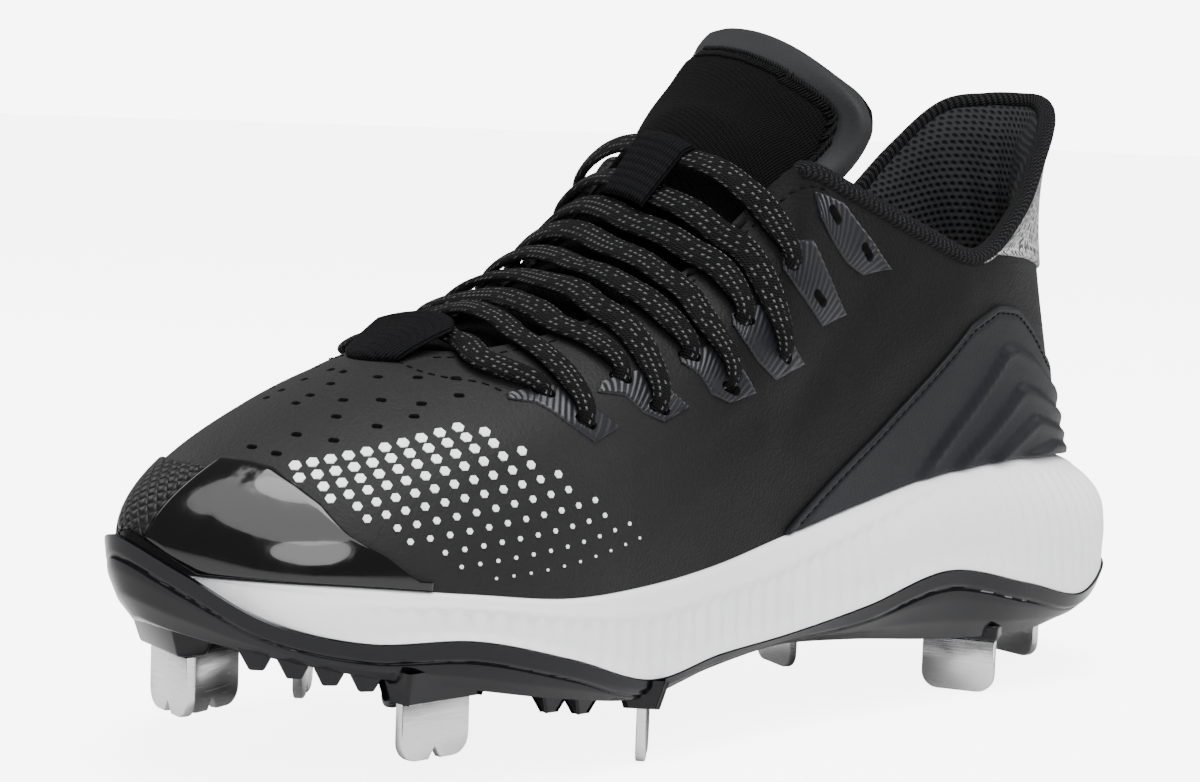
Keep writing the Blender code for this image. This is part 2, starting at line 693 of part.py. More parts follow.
def grid_normals(grid):
    normals = []
    for row_index, row in enumerate(grid):
        line = []
        for column, _ in enumerate(row):
            before = row[max(column - 1, 0)]
            after = row[min(column + 1, len(row) - 1)]
            below = grid[max(row_index - 1, 0)][column]
            above = grid[min(row_index + 1, len(grid) - 1)][column]
            normal = np.cross(after - before, above - below)
            line.append(normal / np.linalg.norm(normal))
        normals.append(line)
    return normals


def build_tongue(parent, finish_material):
    grid = [tongue_free_row(row) for row in TONGUE_FREE_ROWS]
    grid += [tongue_row(place) for place in TONGUE_ROWS]
    grid.append(tongue_toe_row(1.0, TONGUE_TOE_PLACES))
    grid.append(tongue_toe_row(TONGUE_FOOT, TONGUE_TOE_PLACES))
    normals = grid_normals(grid)
    inner = []
    for row, line in zip(grid, normals):
        count = len(row) - 1
        inner_row = []
        for column, (point, normal) in enumerate(zip(row, line)):
            middle = 1.0 - abs(2.0 * column / count - 1.0) ** 3
            inner_row.append(point - normal * TONGUE_THICKNESS * (0.4 + 0.6 * middle))
        inner.append(inner_row)
    return finish("tongue", shell("tongue", grid, inner, False), finish_material, parent, 50.0)


def centre_on_floor(frame):
    """Puts the world's origin under the middle of the whole cleat."""
    bpy.context.view_layer.update()
    shown = [made for made in frame.children if not made.hide_render]
    points = np.array([made.matrix_world @ vertex.co for made in shown for vertex in made.data.vertices])
    middle = (points.min(axis=0) + points.max(axis=0)) / 2.0
    frame.location = (-middle[0], -middle[1], 0.0)


def patch(name, columns, parent, finish_material, sharp_angle=35.0):
    """A piece laid on the upper. A column is its place and, from the bottom up, pairs of a share and a
    thickness; the side towards the upper keeps OVERLAY_GAP."""
    outer = []
    inner = []
    for row in range(len(columns[0][1])):
        steps_here = [(place, *steps[row]) for place, steps in columns]
        outer.append([upper_offset(place, share, OVERLAY_GAP + wall) for place, share, wall in steps_here])
        inner.append([upper_offset(place, share, OVERLAY_GAP) for place, share, _ in steps_here])
    return finish(name, shell(name, outer, inner, False), finish_material, parent, sharp_angle)


def foot_height(place):
    """How high over the foam a piece starts: above the plate's toe wall where that stands higher."""
    values = sole_values(place)
    return max(CLEARANCE, values["parting"] + 3.0 * CLEARANCE - values["top"])


def build_toe_piece(name, places, tops, height, parent, finish_material):
    columns = []
    for place, top in zip(places, tops):
        foot = foot_height(place)
        edge = max(top * height, foot + 4.0 * CLEARANCE)
        heights = [foot + (edge - foot) * share for share in (0.0, 0.2, 0.45, 0.7, 1.0)]
        columns.append((place, [(share_at_height(place, value), GUARD_THICKNESS) for value in heights]))
    return patch(name, columns, parent, finish_material)


def counter_top(place):
    half_rows = [index / 2.0 for index in range(len(COUNTER_TOP))]
    return COUNTER_HEIGHT * float(np.interp(abs(place), half_rows, COUNTER_TOP))


def counter_column(place):
    """Steps from the foot up: each rib line is a step where the wall gets thinner."""
    foot = CLEARANCE
    spacing = 1.2 * CLEARANCE
    top = max(counter_top(place), foot + 2.5 * spacing * len(COUNTER_RIBS))
    thickness = COUNTER_RIM
    steps = [(share_at_height(place, top), thickness)]
    for level, (share, turn, meets_foam) in enumerate(COUNTER_RIBS):
        left = 1.0 - max(abs(place) - turn, 0.0) / (meets_foam - turn)
        line = share * counter_top(min(abs(place), turn)) * max(left, 0.0)
        lowest = foot + spacing * 2.0 * (len(COUNTER_RIBS) - level)
        line = min(max(line, lowest), top - spacing * (2 * level + 1))
        steps.append((share_at_height(place, line + spacing), thickness))
        thickness += COUNTER_STEP * smoothstep(0.0, 0.35, left)
        steps.append((share_at_height(place, line), thickness))
    steps.append((share_at_height(place, foot), thickness))
    return steps[::-1]


def build_heel_counter(parent, finish_material):
    places = [-place for place in COUNTER_PLACES[:0:-1]] + list(COUNTER_PLACES)
    columns = [(place, counter_column(place)) for place in places]
    return patch("heel_counter", columns, parent, finish_material, 25.0)


def build_knit_panel(parent, finish_material):
    last = len(KNIT_LOW) - 1
    columns = []
    for column in range(-last, last + 1):
        place = column / COLUMNS_PER_ROW
        low = share_at_height(place, KNIT_LOW[abs(column)] * KNIT_FOOT)
        shares = [low + (KNIT_TOP - low) * share for share in (0.0, 0.33, 0.66, 1.0)]
        columns.append((place, [(share, KNIT_THICKNESS) for share in shares]))
    return patch("heel_knit_panel", columns, parent, finish_material)


def build_heel_strip(parent, finish_material):
    around = np.linalg.norm(upper_point(0.5, 0.4) - upper_point(-0.5, 0.4))
    columns = []
    for side in (-1.0, -0.5, 0.0, 0.5, 1.0):
        place = side * STRIP_WIDTH / 2.0 / around
        low = share_at_height(place, counter_top(place) + 2.0 * CLEARANCE)
        high = share_at_height(place, KNIT_FOOT - 3.0 * CLEARANCE)
        shares = [low + (high - low) * share for share in (0.0, 0.33, 0.66, 1.0)]
        columns.append((place, [(share, STRIP_THICKNESS) for share in shares]))
    return patch("heel_strip", columns, parent, finish_material)


def build_collar_padding(parent, finish_material):
    wall = UPPER_WALL + OVERLAY_GAP
    places = places_between(-PADDING_END, PADDING_END)
    near = []
    far = []
    for share, full in PADDING_PROFILE:
        near.append([upper_offset(place, share, -wall) for place in places])
        line = []
        for place in places:
            thinned = max(smoothstep(0.0, 2.0, PADDING_END - abs(place) + 0.25), 0.2)
            line.append(upper_offset(place, share, -wall - PADDING_THICKNESS * full * thinned))
        far.append(line)
    return finish("collar_padding", shell("collar_padding", near, far, False), finish_material, parent)


def build_collar_binding(parent, finish_material):
    """A half-round strip on the collar's edge, from one corner of the throat round the heel to the other."""
    over = 0.4 * UPPER_WALL
    section = (
        (over, CLEARANCE), (over, 0.6 * BINDING_HEIGHT), (-0.5 * UPPER_WALL, BINDING_HEIGHT),
        (-UPPER_WALL - over, 0.6 * BINDING_HEIGHT), (-UPPER_WALL - over, CLEARANCE),
    )
    places = places_between(*BINDING_ENDS)
    bm = bmesh.new()
    loops = []
    for place in places:
        loops.append(add_points(bm, [upper_offset(place, 1.0, out) + UP * up for out, up in section]))
    for loop, following in zip(loops, loops[1:]):
        join_loops(bm, loop, following)
    for loop in (loops[0], loops[-1]):
        bm.faces.new(loop)
    return finish("collar_binding", mesh_from("collar_binding", bm), finish_material, parent)


def lace_bed(across, place, lift):
    """Where a lace lies: 1 and -1 are the throat's edges, and beyond them it runs down the upper."""
    facing = inner_place(place)
    if abs(across) >= 1.0:
        side = place if across > 0 else facing
        return upper_offset(side, 1.0 - (abs(across) - 1.0) / 2.0, lift)
    start, end = upper_offset(place, 1.0, lift), upper_offset(facing, 1.0, lift)
    start_foot, end_foot = upper_offset(place, TONGUE_FOOT, lift), upper_offset(facing, TONGUE_FOOT, lift)
    reach = np.linalg.norm(end - start) * LACE_ARCH
    start_handle = start + (start - start_foot) / np.linalg.norm(start - start_foot) * reach
    end_handle = end + (end - end_foot) / np.linalg.norm(end - end_foot) * reach
    share = (1.0 - across) / 2.0
    rest = 1.0 - share
    return (
        start * rest ** 3
        + start_handle * 3.0 * rest ** 2 * share
        + end_handle * 3.0 * rest * share ** 2
        + end * share ** 3
    )


def lace_route(points):
    """Points along a lace's middle and the way up from its bed there."""
    acrosses = [point[0] for point in points]
    places = [point[1] for point in points]
    lift = LACE_GAP + LACE_THICKNESS / 2.0
    route = []
    for step in range(LACE_STEPS + 1):
        across = acrosses[0] + (acrosses[-1] - acrosses[0]) * step / LACE_STEPS
        place = float(np.interp(-across, [-value for value in acrosses], places))
        point = lace_bed(across, place, lift)
        route.append((point, lace_bed(across, place, lift + LACE_THICKNESS) - point))
    return route


def build_lace(name, points, parent, finish_material):
    section = ((-0.5, 0.0), (-0.3, 0.5), (0.3, 0.5), (0.5, 0.0), (0.3, -0.5), (-0.3, -0.5))
    route = lace_route(points)
    bm = bmesh.new()
    loops = []
    for index, (middle, up) in enumerate(route):
        run = route[min(index + 1, LACE_STEPS)][0] - route[max(index - 1, 0)][0]
        side = np.cross(run, up)
        side /= np.linalg.norm(side)
        top = np.cross(side, run)
        top /= np.linalg.norm(top)
        loops.append(add_points(bm, [
            middle + side * LACE_WIDTH * across + top * LACE_THICKNESS * high for across, high in section
        ]))
    for loop, following in zip(loops, loops[1:]):
        join_loops(bm, loop, following)
    for loop in (loops[0], loops[-1]):
        bm.faces.new(loop)
    return finish(name, mesh_from(name, bm), finish_material, parent)


def clear_scene():
    for existing in list(bpy.data.objects):
        bpy.data.objects.remove(existing, do_unlink=True)


def main():
    clear_scene()
    frame = bpy.data.objects.new("cleat", None)
    bpy.context.scene.collection.objects.link(frame)
    synthetic = material("black_synthetic", (0.025, 0.025, 0.027), 0.55)
    foam = material("white_foam", (0.82, 0.82, 0.84), 0.6)
    gloss = material("black_gloss_plate", (0.015, 0.015, 0.018), 0.15)
    lining = material("grey_lining", (0.06, 0.06, 0.065), 0.8)
    textile = material("black_textile", (0.018, 0.016, 0.018), 0.85)
    steel = material("stud_steel", (0.62, 0.63, 0.65), 0.25, 1.0)
    patent = material("patent_black", (0.012, 0.012, 0.014), 0.12)
    textured = material("textured_black", (0.02, 0.02, 0.022), 0.5)
    slate = material("slate_synthetic", (0.045, 0.047, 0.052), 0.5)
    knit = material("melange_knit", (0.35, 0.35, 0.36), 0.9)
    trim = material("black_trim", (0.02, 0.02, 0.022), 0.8)
    braid = material("braided_lace", (0.02, 0.02, 0.022), 0.8)
    build_midsole(frame, foam)
    build_stud_plate(frame, gloss)
    build_insole(frame, lining)
    build_upper(frame, synthetic)
    build_tongue(frame, textile)
    for stud in STUDS:
        build_stud(*stud, frame, steel)
    build_toe_piece("toe_guard", GUARD_PLACES, GUARD_TOP, GUARD_HEIGHT, frame, patent)
    build_toe_piece("toe_tip", TIP_PLACES, TIP_TOP, TIP_HEIGHT, frame, textured)
    build_heel_counter(frame, slate)
    build_knit_panel(frame, knit)
    build_heel_strip(frame, trim)
    build_collar_padding(frame, lining)
    build_collar_binding(frame, trim)
    for number, points in enumerate(LACES, start=1):
        build_lace(f"lace_{number}", points, frame, braid)
    centre_on_floor(frame)


main()
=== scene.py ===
import math
import random

import bmesh
import bpy
import numpy as np
from mathutils import Matrix, Vector


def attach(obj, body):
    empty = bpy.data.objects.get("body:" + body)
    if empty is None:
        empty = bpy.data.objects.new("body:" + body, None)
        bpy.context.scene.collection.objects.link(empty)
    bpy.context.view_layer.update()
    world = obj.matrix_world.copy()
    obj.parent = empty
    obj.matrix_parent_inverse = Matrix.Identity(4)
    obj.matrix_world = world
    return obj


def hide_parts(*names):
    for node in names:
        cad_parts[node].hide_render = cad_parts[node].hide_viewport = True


# Left baseball cleat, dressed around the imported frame. Everything is in metres.
# A spot on the upper is a place and a share: place runs round the sole (0 heel, 15 toe, 30 heel again on the
# big-toe side), and share runs up from the foam (0) to the collar or throat edge (1).
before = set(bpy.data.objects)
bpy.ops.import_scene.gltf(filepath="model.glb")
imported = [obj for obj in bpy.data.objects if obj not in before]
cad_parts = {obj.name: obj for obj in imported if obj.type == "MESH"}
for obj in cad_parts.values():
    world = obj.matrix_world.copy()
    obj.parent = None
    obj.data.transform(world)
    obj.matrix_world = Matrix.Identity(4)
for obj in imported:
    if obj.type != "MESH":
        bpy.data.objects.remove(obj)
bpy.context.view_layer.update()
random.seed(7)

# sizes shared by the pieces
shoe = {
    "length": 0.300, "ballWidth": 0.103, "heelWidth": 0.077, "soleHeight": 0.045, "toeSpring": 0.011,
    "heelLedge": 0.017, "plateWall": 0.0016, "plateThickness": 0.0024, "plateTuck": 0.011,
    "collarHeight": 0.095, "instepHeight": 0.0765, "collarWidth": 0.069, "wall": 0.0022,
    "studLength": 0.0132, "gap": 0.0003, "origin": (-0.14805, -0.001545, 0.0),
}

# along, outer, inner, ledge, top, parting, low, tuck, hidden
soleTable = (
    (0.000, 0.00, 0.00, 1.00, 0.918, 0.396, 0.173, 1.00, 0.0),
    (0.013, 0.42, 0.44, 1.00, 0.929, 0.373, 0.150, 1.00, 0.0),
    (0.047, 0.735, 0.765, 0.96, 0.951, 0.315, 0.107, 0.95, 0.0),
    (0.107, 0.935, 0.95, 0.80, 0.984, 0.215, 0.050, 0.70, 0.0),
    (0.187, 1.015, 0.975, 0.62, 0.996, 0.330, 0.030, 0.50, 0.0),
    (0.280, 0.995, 0.905, 0.45, 0.940, 0.444, 0.055, 0.50, 0.0),
    (0.373, 0.93, 0.81, 0.30, 0.829, 0.307, 0.107, 0.60, 0.0),
    (0.467, 0.895, 0.765, 0.19, 0.718, 0.224, 0.140, 0.60, 0.0),
    (0.553, 0.917, 0.80, 0.14, 0.629, 0.190, 0.096, 0.45, 0.0),
    (0.633, 0.963, 0.87, 0.12, 0.584, 0.133, 0.036, 0.25, 0.0),
    (0.713, 1.00, 0.94, 0.115, 0.573, 0.290, 0.096, 0.30, 0.0),
    (0.793, 0.961, 0.893, 0.115, 0.606, 0.395, 0.162, 0.35, 0.0),
    (0.867, 0.825, 0.767, 0.13, 0.598, 0.352, 0.187, 0.45, 0.0),
    (0.923, 0.612, 0.490, 0.15, 0.556, 0.384, 0.205, 0.50, 0.6),
    (0.963, 0.34, 0.215, 0.22, 0.509, 0.531, 0.225, 0.52, 1.6),
    (0.987, 0.05, 0.05, 0.26, 0.484, 0.640, 0.260, 0.55, 1.6),
)

# along, outer, inner, rise outer, rise inner, low handle up and out, high handle down and out
upperTable = (
    (0.075, 0.00, 0.00, 0.980, 0.980, 0.32, 0.03, 0.34, -0.20),
    (0.083, 0.27, -0.30, 0.972, 0.978, 0.32, 0.03, 0.34, -0.195),
    (0.106, 0.51, -0.60, 0.925, 0.950, 0.32, 0.03, 0.33, -0.18),
    (0.143, 0.71, -0.85, 0.830, 0.815, 0.36, 0.05, 0.36, -0.10),
    (0.187, 0.875, -0.945, 0.697, 0.680, 0.38, 0.06, 0.36, -0.01),
    (0.250, 1.00, -0.985, 0.594, 0.597, 0.36, 0.07, 0.32, 0.02),
    (0.323, 1.04, -0.985, 0.711, 0.711, 0.34, 0.07, 0.33, 0.03),
    (0.400, 1.02, -0.96, 0.895, 0.895, 0.31, 0.06, 0.34, 0.08),
    (0.453, 0.96, -0.94, 0.985, 0.985, 0.27, 0.04, 0.33, 0.17),
    (0.490, 0.82, -0.85, 0.863, 0.890, 0.27, 0.03, 0.27, 0.23),
    (0.543, 0.725, -0.78, 0.673, 0.700, 0.33, 0.02, 0.22, 0.27),
    (0.603, 0.64, -0.71, 0.562, 0.580, 0.36, 0.02, 0.18, 0.31),
    (0.663, 0.55, -0.62, 0.484, 0.490, 0.38, 0.02, 0.16, 0.35),
    (0.713, 0.42, -0.49, 0.444, 0.446, 0.38, 0.03, 0.17, 0.43),
    (0.743, 0.23, -0.28, 0.438, 0.438, 0.40, 0.12, 0.20, 0.47),
    (0.757, -0.02, -0.02, 0.444, 0.444, 0.465, 0.16, 0.29, 0.54),
)
toePlace = len(soleTable) - 1
turn = 2 * toePlace


def smooth(start, end, value):
    share = np.clip((np.asarray(value, float) - start) / (end - start), 0.0, 1.0)
    return share * share * (3.0 - 2.0 * share)


def soleStation(row, side):
    along, outer, inner, ledge, top, parting, low, tuck, hidden = row
    forward = float(smooth(0.25, 0.65, along))
    width = (shoe["heelWidth"] + (shoe["ballWidth"] - shoe["heelWidth"]) * forward) / 2
    across = outer if side > 0 else inner * (1.0 if along > 0.99 else -1.0)
    base = shoe["studLength"] + shoe["toeSpring"] * max((along - 0.70) / 0.30, 0.0) ** 2
    high = shoe["soleHeight"]
    return (along * shoe["length"], across * width, ledge * shoe["heelLedge"], base + top * high,
            base + parting * high, base + low * high, tuck * shoe["plateTuck"], hidden)


def upperStation(row, side):
    along, outer, inner, riseOuter, riseInner, lowUp, lowOut, highDown, highOut = row
    heelTop = shoe["studLength"] + shoe["soleHeight"] * soleTable[0][4]
    blend = float(smooth(0.20, 0.45, along))
    edge = shoe["collarHeight"] + (shoe["instepHeight"] - shoe["collarHeight"]) * blend
    half = shoe["ballWidth"] / 2
    across, rise = (outer, riseOuter) if side > 0 else (inner, riseInner)
    return (along * shoe["length"], across * shoe["collarWidth"] / 2, heelTop + rise * edge,
            lowUp, lowOut * half, highDown, highOut * half)


def ringOf(table, station):
    return np.array([station(row, 1) for row in table] + [station(row, -1) for row in table[1:-1]][::-1])


soleRing = ringOf(soleTable, soleStation)
upperRing = ringOf(upperTable, upperStation)
origin = np.array(shoe["origin"])


def through(a, b, c, d, t):
    return 0.5 * (2 * b + (c - a) * t + (2 * a - 5 * b + 4 * c - d) * t**2 + (3 * b - a - 3 * c + d) * t**3)


def ringAt(ring, place):
    place = np.asarray(place, float)
    index = np.floor(place).astype(int)
    t = (place - index)[..., None]
    return through(*(ring[(index + step) % len(ring)] for step in (-1, 0, 1, 2)), t)


# extra rows between the given ones, on a smooth curve through them
def splineRows(padded, steps):
    made = [through(*padded[index:index + 4], step / steps) for index in range(len(padded) - 3)
            for step in range(steps)]
    return np.array(made + [padded[-2]])


def bezier(start, low, high, end, s):
    r = 1.0 - s
    return start * r**3 + low * 3 * r**2 * s + high * 3 * r * s**2 + end * s**3


def unit(vectors):
    return vectors / np.linalg.norm(vectors, axis=-1, keepdims=True)


def outlineNormal(place):
    run = (ringAt(soleRing, place + 0.05) - ringAt(soleRing, place - 0.05))[..., :2]
    return unit(np.stack([-run[..., 1], run[..., 0], np.zeros(run.shape[:-1])], axis=-1))


def outlinePoint(place, out, height):
    flat = ringAt(soleRing, place)
    point = np.stack([flat[..., 0], flat[..., 1], np.broadcast_to(height, flat.shape[:-1])], axis=-1)
    return point + outlineNormal(place) * np.asarray(out, float)[..., None] + origin


def soleAt(place):
    values = np.moveaxis(ringAt(soleRing, place)[..., 2:], -1, 0)
    return dict(zip(("ledge", "top", "parting", "low", "tuck", "hidden"), values))


def upperPoint(place, share):
    place, share = np.broadcast_arrays(np.asarray(place, float), np.asarray(share, float))
    sole = soleAt(place)
    start = outlinePoint(place, -sole["ledge"], sole["top"] + shoe["gap"])
    edge = ringAt(upperRing, place)
    end = edge[..., :3] + origin
    rise = (end[..., 2] - start[..., 2])[..., None]
    out = outlineNormal(place)
    up = np.array((0.0, 0.0, 1.0))
    low = start + up * rise * edge[..., 3:4] + out * edge[..., 4:5]
    high = end - up * rise * edge[..., 5:6] + out * edge[..., 6:7]
    return bezier(start, low, high, end, share[..., None])


def upperNormal(place, share):
    step = 0.02
    around = upperPoint(place + step, share) - upperPoint(place - step, share)
    above, below = np.minimum(share + step, 1.0), np.maximum(share - step, 0.0)
    upward = upperPoint(place, above) - upperPoint(place, below)
    return unit(np.cross(upward, around))


def upperOffset(place, share, lift):
    place, share = np.broadcast_arrays(np.asarray(place, float), np.asarray(share, float))
    return upperPoint(place, share) + upperNormal(place, share) * np.asarray(lift, float)[..., None]


def shareAtHeight(place, height):
    place, height = np.broadcast_arrays(np.asarray(place, float), np.asarray(height, float))
    base = upperPoint(place, 0.0)[..., 2]
    low, high = np.zeros(place.shape), np.ones(place.shape)
    for _ in range(24):
        middle = (low + high) / 2
        under = upperPoint(place, middle)[..., 2] - base < height
        low, high = np.where(under, middle, low), np.where(under, high, middle)
    return (low + high) / 2


archFoot, laceArch = 0.89, 0.42  # share that sets the arch's slope at the throat's edge, and its pull


# a curve over the throat that leaves each edge along the upper
def archOver(ends, feet, arch, s):
    (start, end), (startFoot, endFoot) = ends, feet
    reach = np.linalg.norm(end - start, axis=-1, keepdims=True) * arch
    return bezier(start, start + unit(start - startFoot) * reach, end + unit(end - endFoot) * reach, end, s)


# where a lace lies: 1 and -1 are the throat's edges, and beyond them it runs down the upper
def laceBed(across, place, lift):
    across, place, lift = np.broadcast_arrays(*(np.asarray(value, float) for value in (across, place, lift)))
    facing = turn - place
    side = np.where(across > 0, place, facing)
    outside = upperOffset(side, np.clip(1.0 - (np.abs(across) - 1.0) / 2, 0, 1), lift)
    ends = [upperOffset(at, 1.0, lift) for at in (place, facing)]
    feet = [upperOffset(at, archFoot, lift) for at in (place, facing)]
    inside = archOver(ends, feet, laceArch, ((1.0 - across) / 2)[..., None])
    return np.where((np.abs(across) >= 1.0)[..., None], outside, inside)


# mesh helpers
def lengthsAlong(points, axis):
    steps = np.linalg.norm(np.diff(points, axis=axis), axis=-1)
    start = np.zeros_like(np.take(steps, [0], axis=axis))
    return np.concatenate([start, np.cumsum(steps, axis=axis)], axis=axis)


# a bmesh grid laid on rows x columns of points, with a UV map in metres. Borders that meet are welded
def gridMesh(points, materialAt=None):
    rows, columns = points.shape[:2]
    bm = bmesh.new()
    bmesh.ops.create_grid(bm, x_segments=columns - 1, y_segments=rows - 1, size=0.5)
    uAll, vAll = lengthsAlong(points, 1), lengthsAlong(points, 0)
    spots = []
    for vert in bm.verts:
        spots.append((round((vert.co.y + 0.5) * (rows - 1)), round((vert.co.x + 0.5) * (columns - 1))))
        vert.index = len(spots) - 1
    layer = bm.loops.layers.uv.new("wrap")
    for face in bm.faces:
        corners = [spots[loop.vert.index] for loop in face.loops]
        for loop, (row, column) in zip(face.loops, corners):
            loop[layer].uv = (uAll[row, column], vAll[row, column])
        if materialAt is not None:
            face.material_index = int(materialAt(*np.min(corners, axis=0)))
        face.smooth = True
    for vert, (row, column) in zip(list(bm.verts), spots):
        vert.co = points[row, column]
    bmesh.ops.remove_doubles(bm, verts=bm.verts, dist=2e-6)
    bmesh.ops.dissolve_degenerate(bm, edges=bm.edges, dist=1e-7)
    return bm


# turns a closed mesh the right way round
def outward(bm):
    bmesh.ops.recalc_face_normals(bm, faces=bm.faces)
    if bm.calc_volume(signed=True) < 0:
        bmesh.ops.reverse_faces(bm, faces=bm.faces)
    return bm


def addObject(name, data):
    made = bpy.data.objects.new(name, data)
    bpy.context.scene.collection.objects.link(made)
    return made


def meshObject(name, bm, materials):
    mesh = bpy.data.meshes.new(name)
    bm.to_mesh(mesh)
    bm.free()
    for made in materials:
        mesh.materials.append(made)
    return addObject(name, mesh)


def addPiece(name, bm, materials, nodes=(), sharp=None):
    piece = meshObject(name, bm, materials if isinstance(materials, list) else [materials])
    piece.data.shade_smooth()
    if sharp:
        piece.data.set_sharp_from_angle(angle=math.radians(sharp))
    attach(piece, "root")
    if nodes:
        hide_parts(*nodes)
    return piece


# one closed mesh of a top and an underside that meet at their borders
def closedSheet(top, under):
    for edge in ((0, slice(None)), (-1, slice(None)), (slice(None), 0), (slice(None), -1)):
        top[edge] = under[edge]
    return outward(gridMesh(np.concatenate([top, under[::-1]])))


# the upper's mesh and the soft creases pressed into it
upperLook = {
    "columns": 420, "rows": 64, "innerRows": 16,
    # place, share at one end and the other, half width across it, depth (minus is a trough)
    "creases": (
        (9.6, 0.30, 7.2, 0.44, 0.0060, -0.00045), (9.9, 0.36, 8.3, 0.50, 0.0050, 0.00035),
        (11.3, 0.34, 10.2, 0.45, 0.0050, -0.00035), (12.4, 0.30, 11.2, 0.58, 0.0070, 0.00035),
        (7.4, 0.34, 6.6, 0.80, 0.0060, -0.00040), (6.3, 0.45, 5.2, 0.80, 0.0060, 0.00040),
        (13.3, 0.70, 13.9, 0.92, 0.0050, -0.00030), (16.7, 0.70, 16.1, 0.92, 0.0050, -0.00030),
        (19.4, 0.40, 22.4, 0.46, 0.0060, -0.00045), (20.2, 0.55, 21.9, 0.60, 0.0050, -0.00030),
        (23.4, 0.45, 24.6, 0.78, 0.0060, 0.00040),
    ),
}


# soft troughs and ridges, measured in the shoe's own metres
def creaseLift(place, share):
    total = np.zeros(np.shape(place))
    here = upperPoint(place, share)
    for place0, share0, place1, share1, reach, depth in upperLook["creases"]:
        t = np.linspace(0.0, 1.0, 9)
        line = upperPoint(place0 + (place1 - place0) * t, share0 + (share1 - share0) * t)
        far = np.full(np.shape(place), 1.0)
        for start, end in zip(line, line[1:]):
            along = np.clip(((here - start) @ (end - start)) / ((end - start) @ (end - start)), 0, 1)
            far = np.minimum(far, np.linalg.norm(here - start - along[..., None] * (end - start), axis=-1))
        total += depth * np.exp(-((far / reach) ** 2))
    return total * smooth(0.0, 0.10, share) * smooth(1.0, 0.92, share)


edgeSteps = (0.0, 0.00010, 0.00035, 0.0008)
edgeHeights = (0.0, 0.60, 0.90, 1.0)


# shares of a width with close lines at both ends, for a rounded edge
def edgeLines(count, width):
    close = [step / width for step in edgeSteps]
    middle = np.linspace(close[-1], 1 - close[-1], count)[1:-1]
    return np.concatenate([close, middle, [1 - share for share in close[::-1]]])


def edgeRise(lines, width):
    return np.interp(np.minimum(lines, 1 - lines) * width, edgeSteps, edgeHeights)


def roundedRise(up, tall, across, wide):
    return np.minimum(edgeRise(up, tall)[:, None], edgeRise(across, wide)[None])


# a closed piece lying on the upper, as thick as given where rise is 1, its underside just inside the wall
def laidBm(places, shares, rise, thick, sunk=-0.0005):
    skin = creaseLift(places, shares)
    lifts = sunk + rise * (thick - sunk)
    return closedSheet(upperOffset(places, shares, lifts + skin), upperOffset(places, shares, sunk + skin))


# evenly spaced points, their directions and outward normals along a line of places and shares
def pathOnUpper(spots, lift, step):
    spots = np.array(spots, float)
    count = 40 * (len(spots) - 1) + 1
    t = np.linspace(0, len(spots) - 1, count)
    places = np.interp(t, range(len(spots)), spots[:, 0])
    shares = np.interp(t, range(len(spots)), spots[:, 1])
    points = upperOffset(places, shares, lift + creaseLift(places, shares))
    reach = lengthsAlong(points, 0)
    even = np.linspace(0, reach[-1], max(int(reach[-1] / step), 1) + 1)
    pick = np.interp(even, reach, range(count))
    low = np.floor(pick).astype(int).clip(0, count - 2)
    frac = (pick - low)[:, None]
    spotsOn = points[low] * (1 - frac) + points[low + 1] * frac
    normals = upperNormal(places[low], shares[low])
    return spotsOn, unit(np.gradient(spotsOn, axis=0)), normals


# adds one small rounded stitch at each point of a row
def stitchRun(bm, points, runs, normals, size):
    for point, run, normal in zip(points, runs, normals):
        side = np.cross(normal, run)
        turnTo = Matrix(np.column_stack([run, side, np.cross(run, side)])).to_4x4()
        scale = Matrix.Diagonal((size["length"] / 2, size["width"] / 2, size["width"] / 2, 1.0))
        matrix = Matrix.Translation(Vector(point)) @ turnTo @ scale
        bmesh.ops.create_icosphere(bm, subdivisions=1, radius=1.0, matrix=matrix)


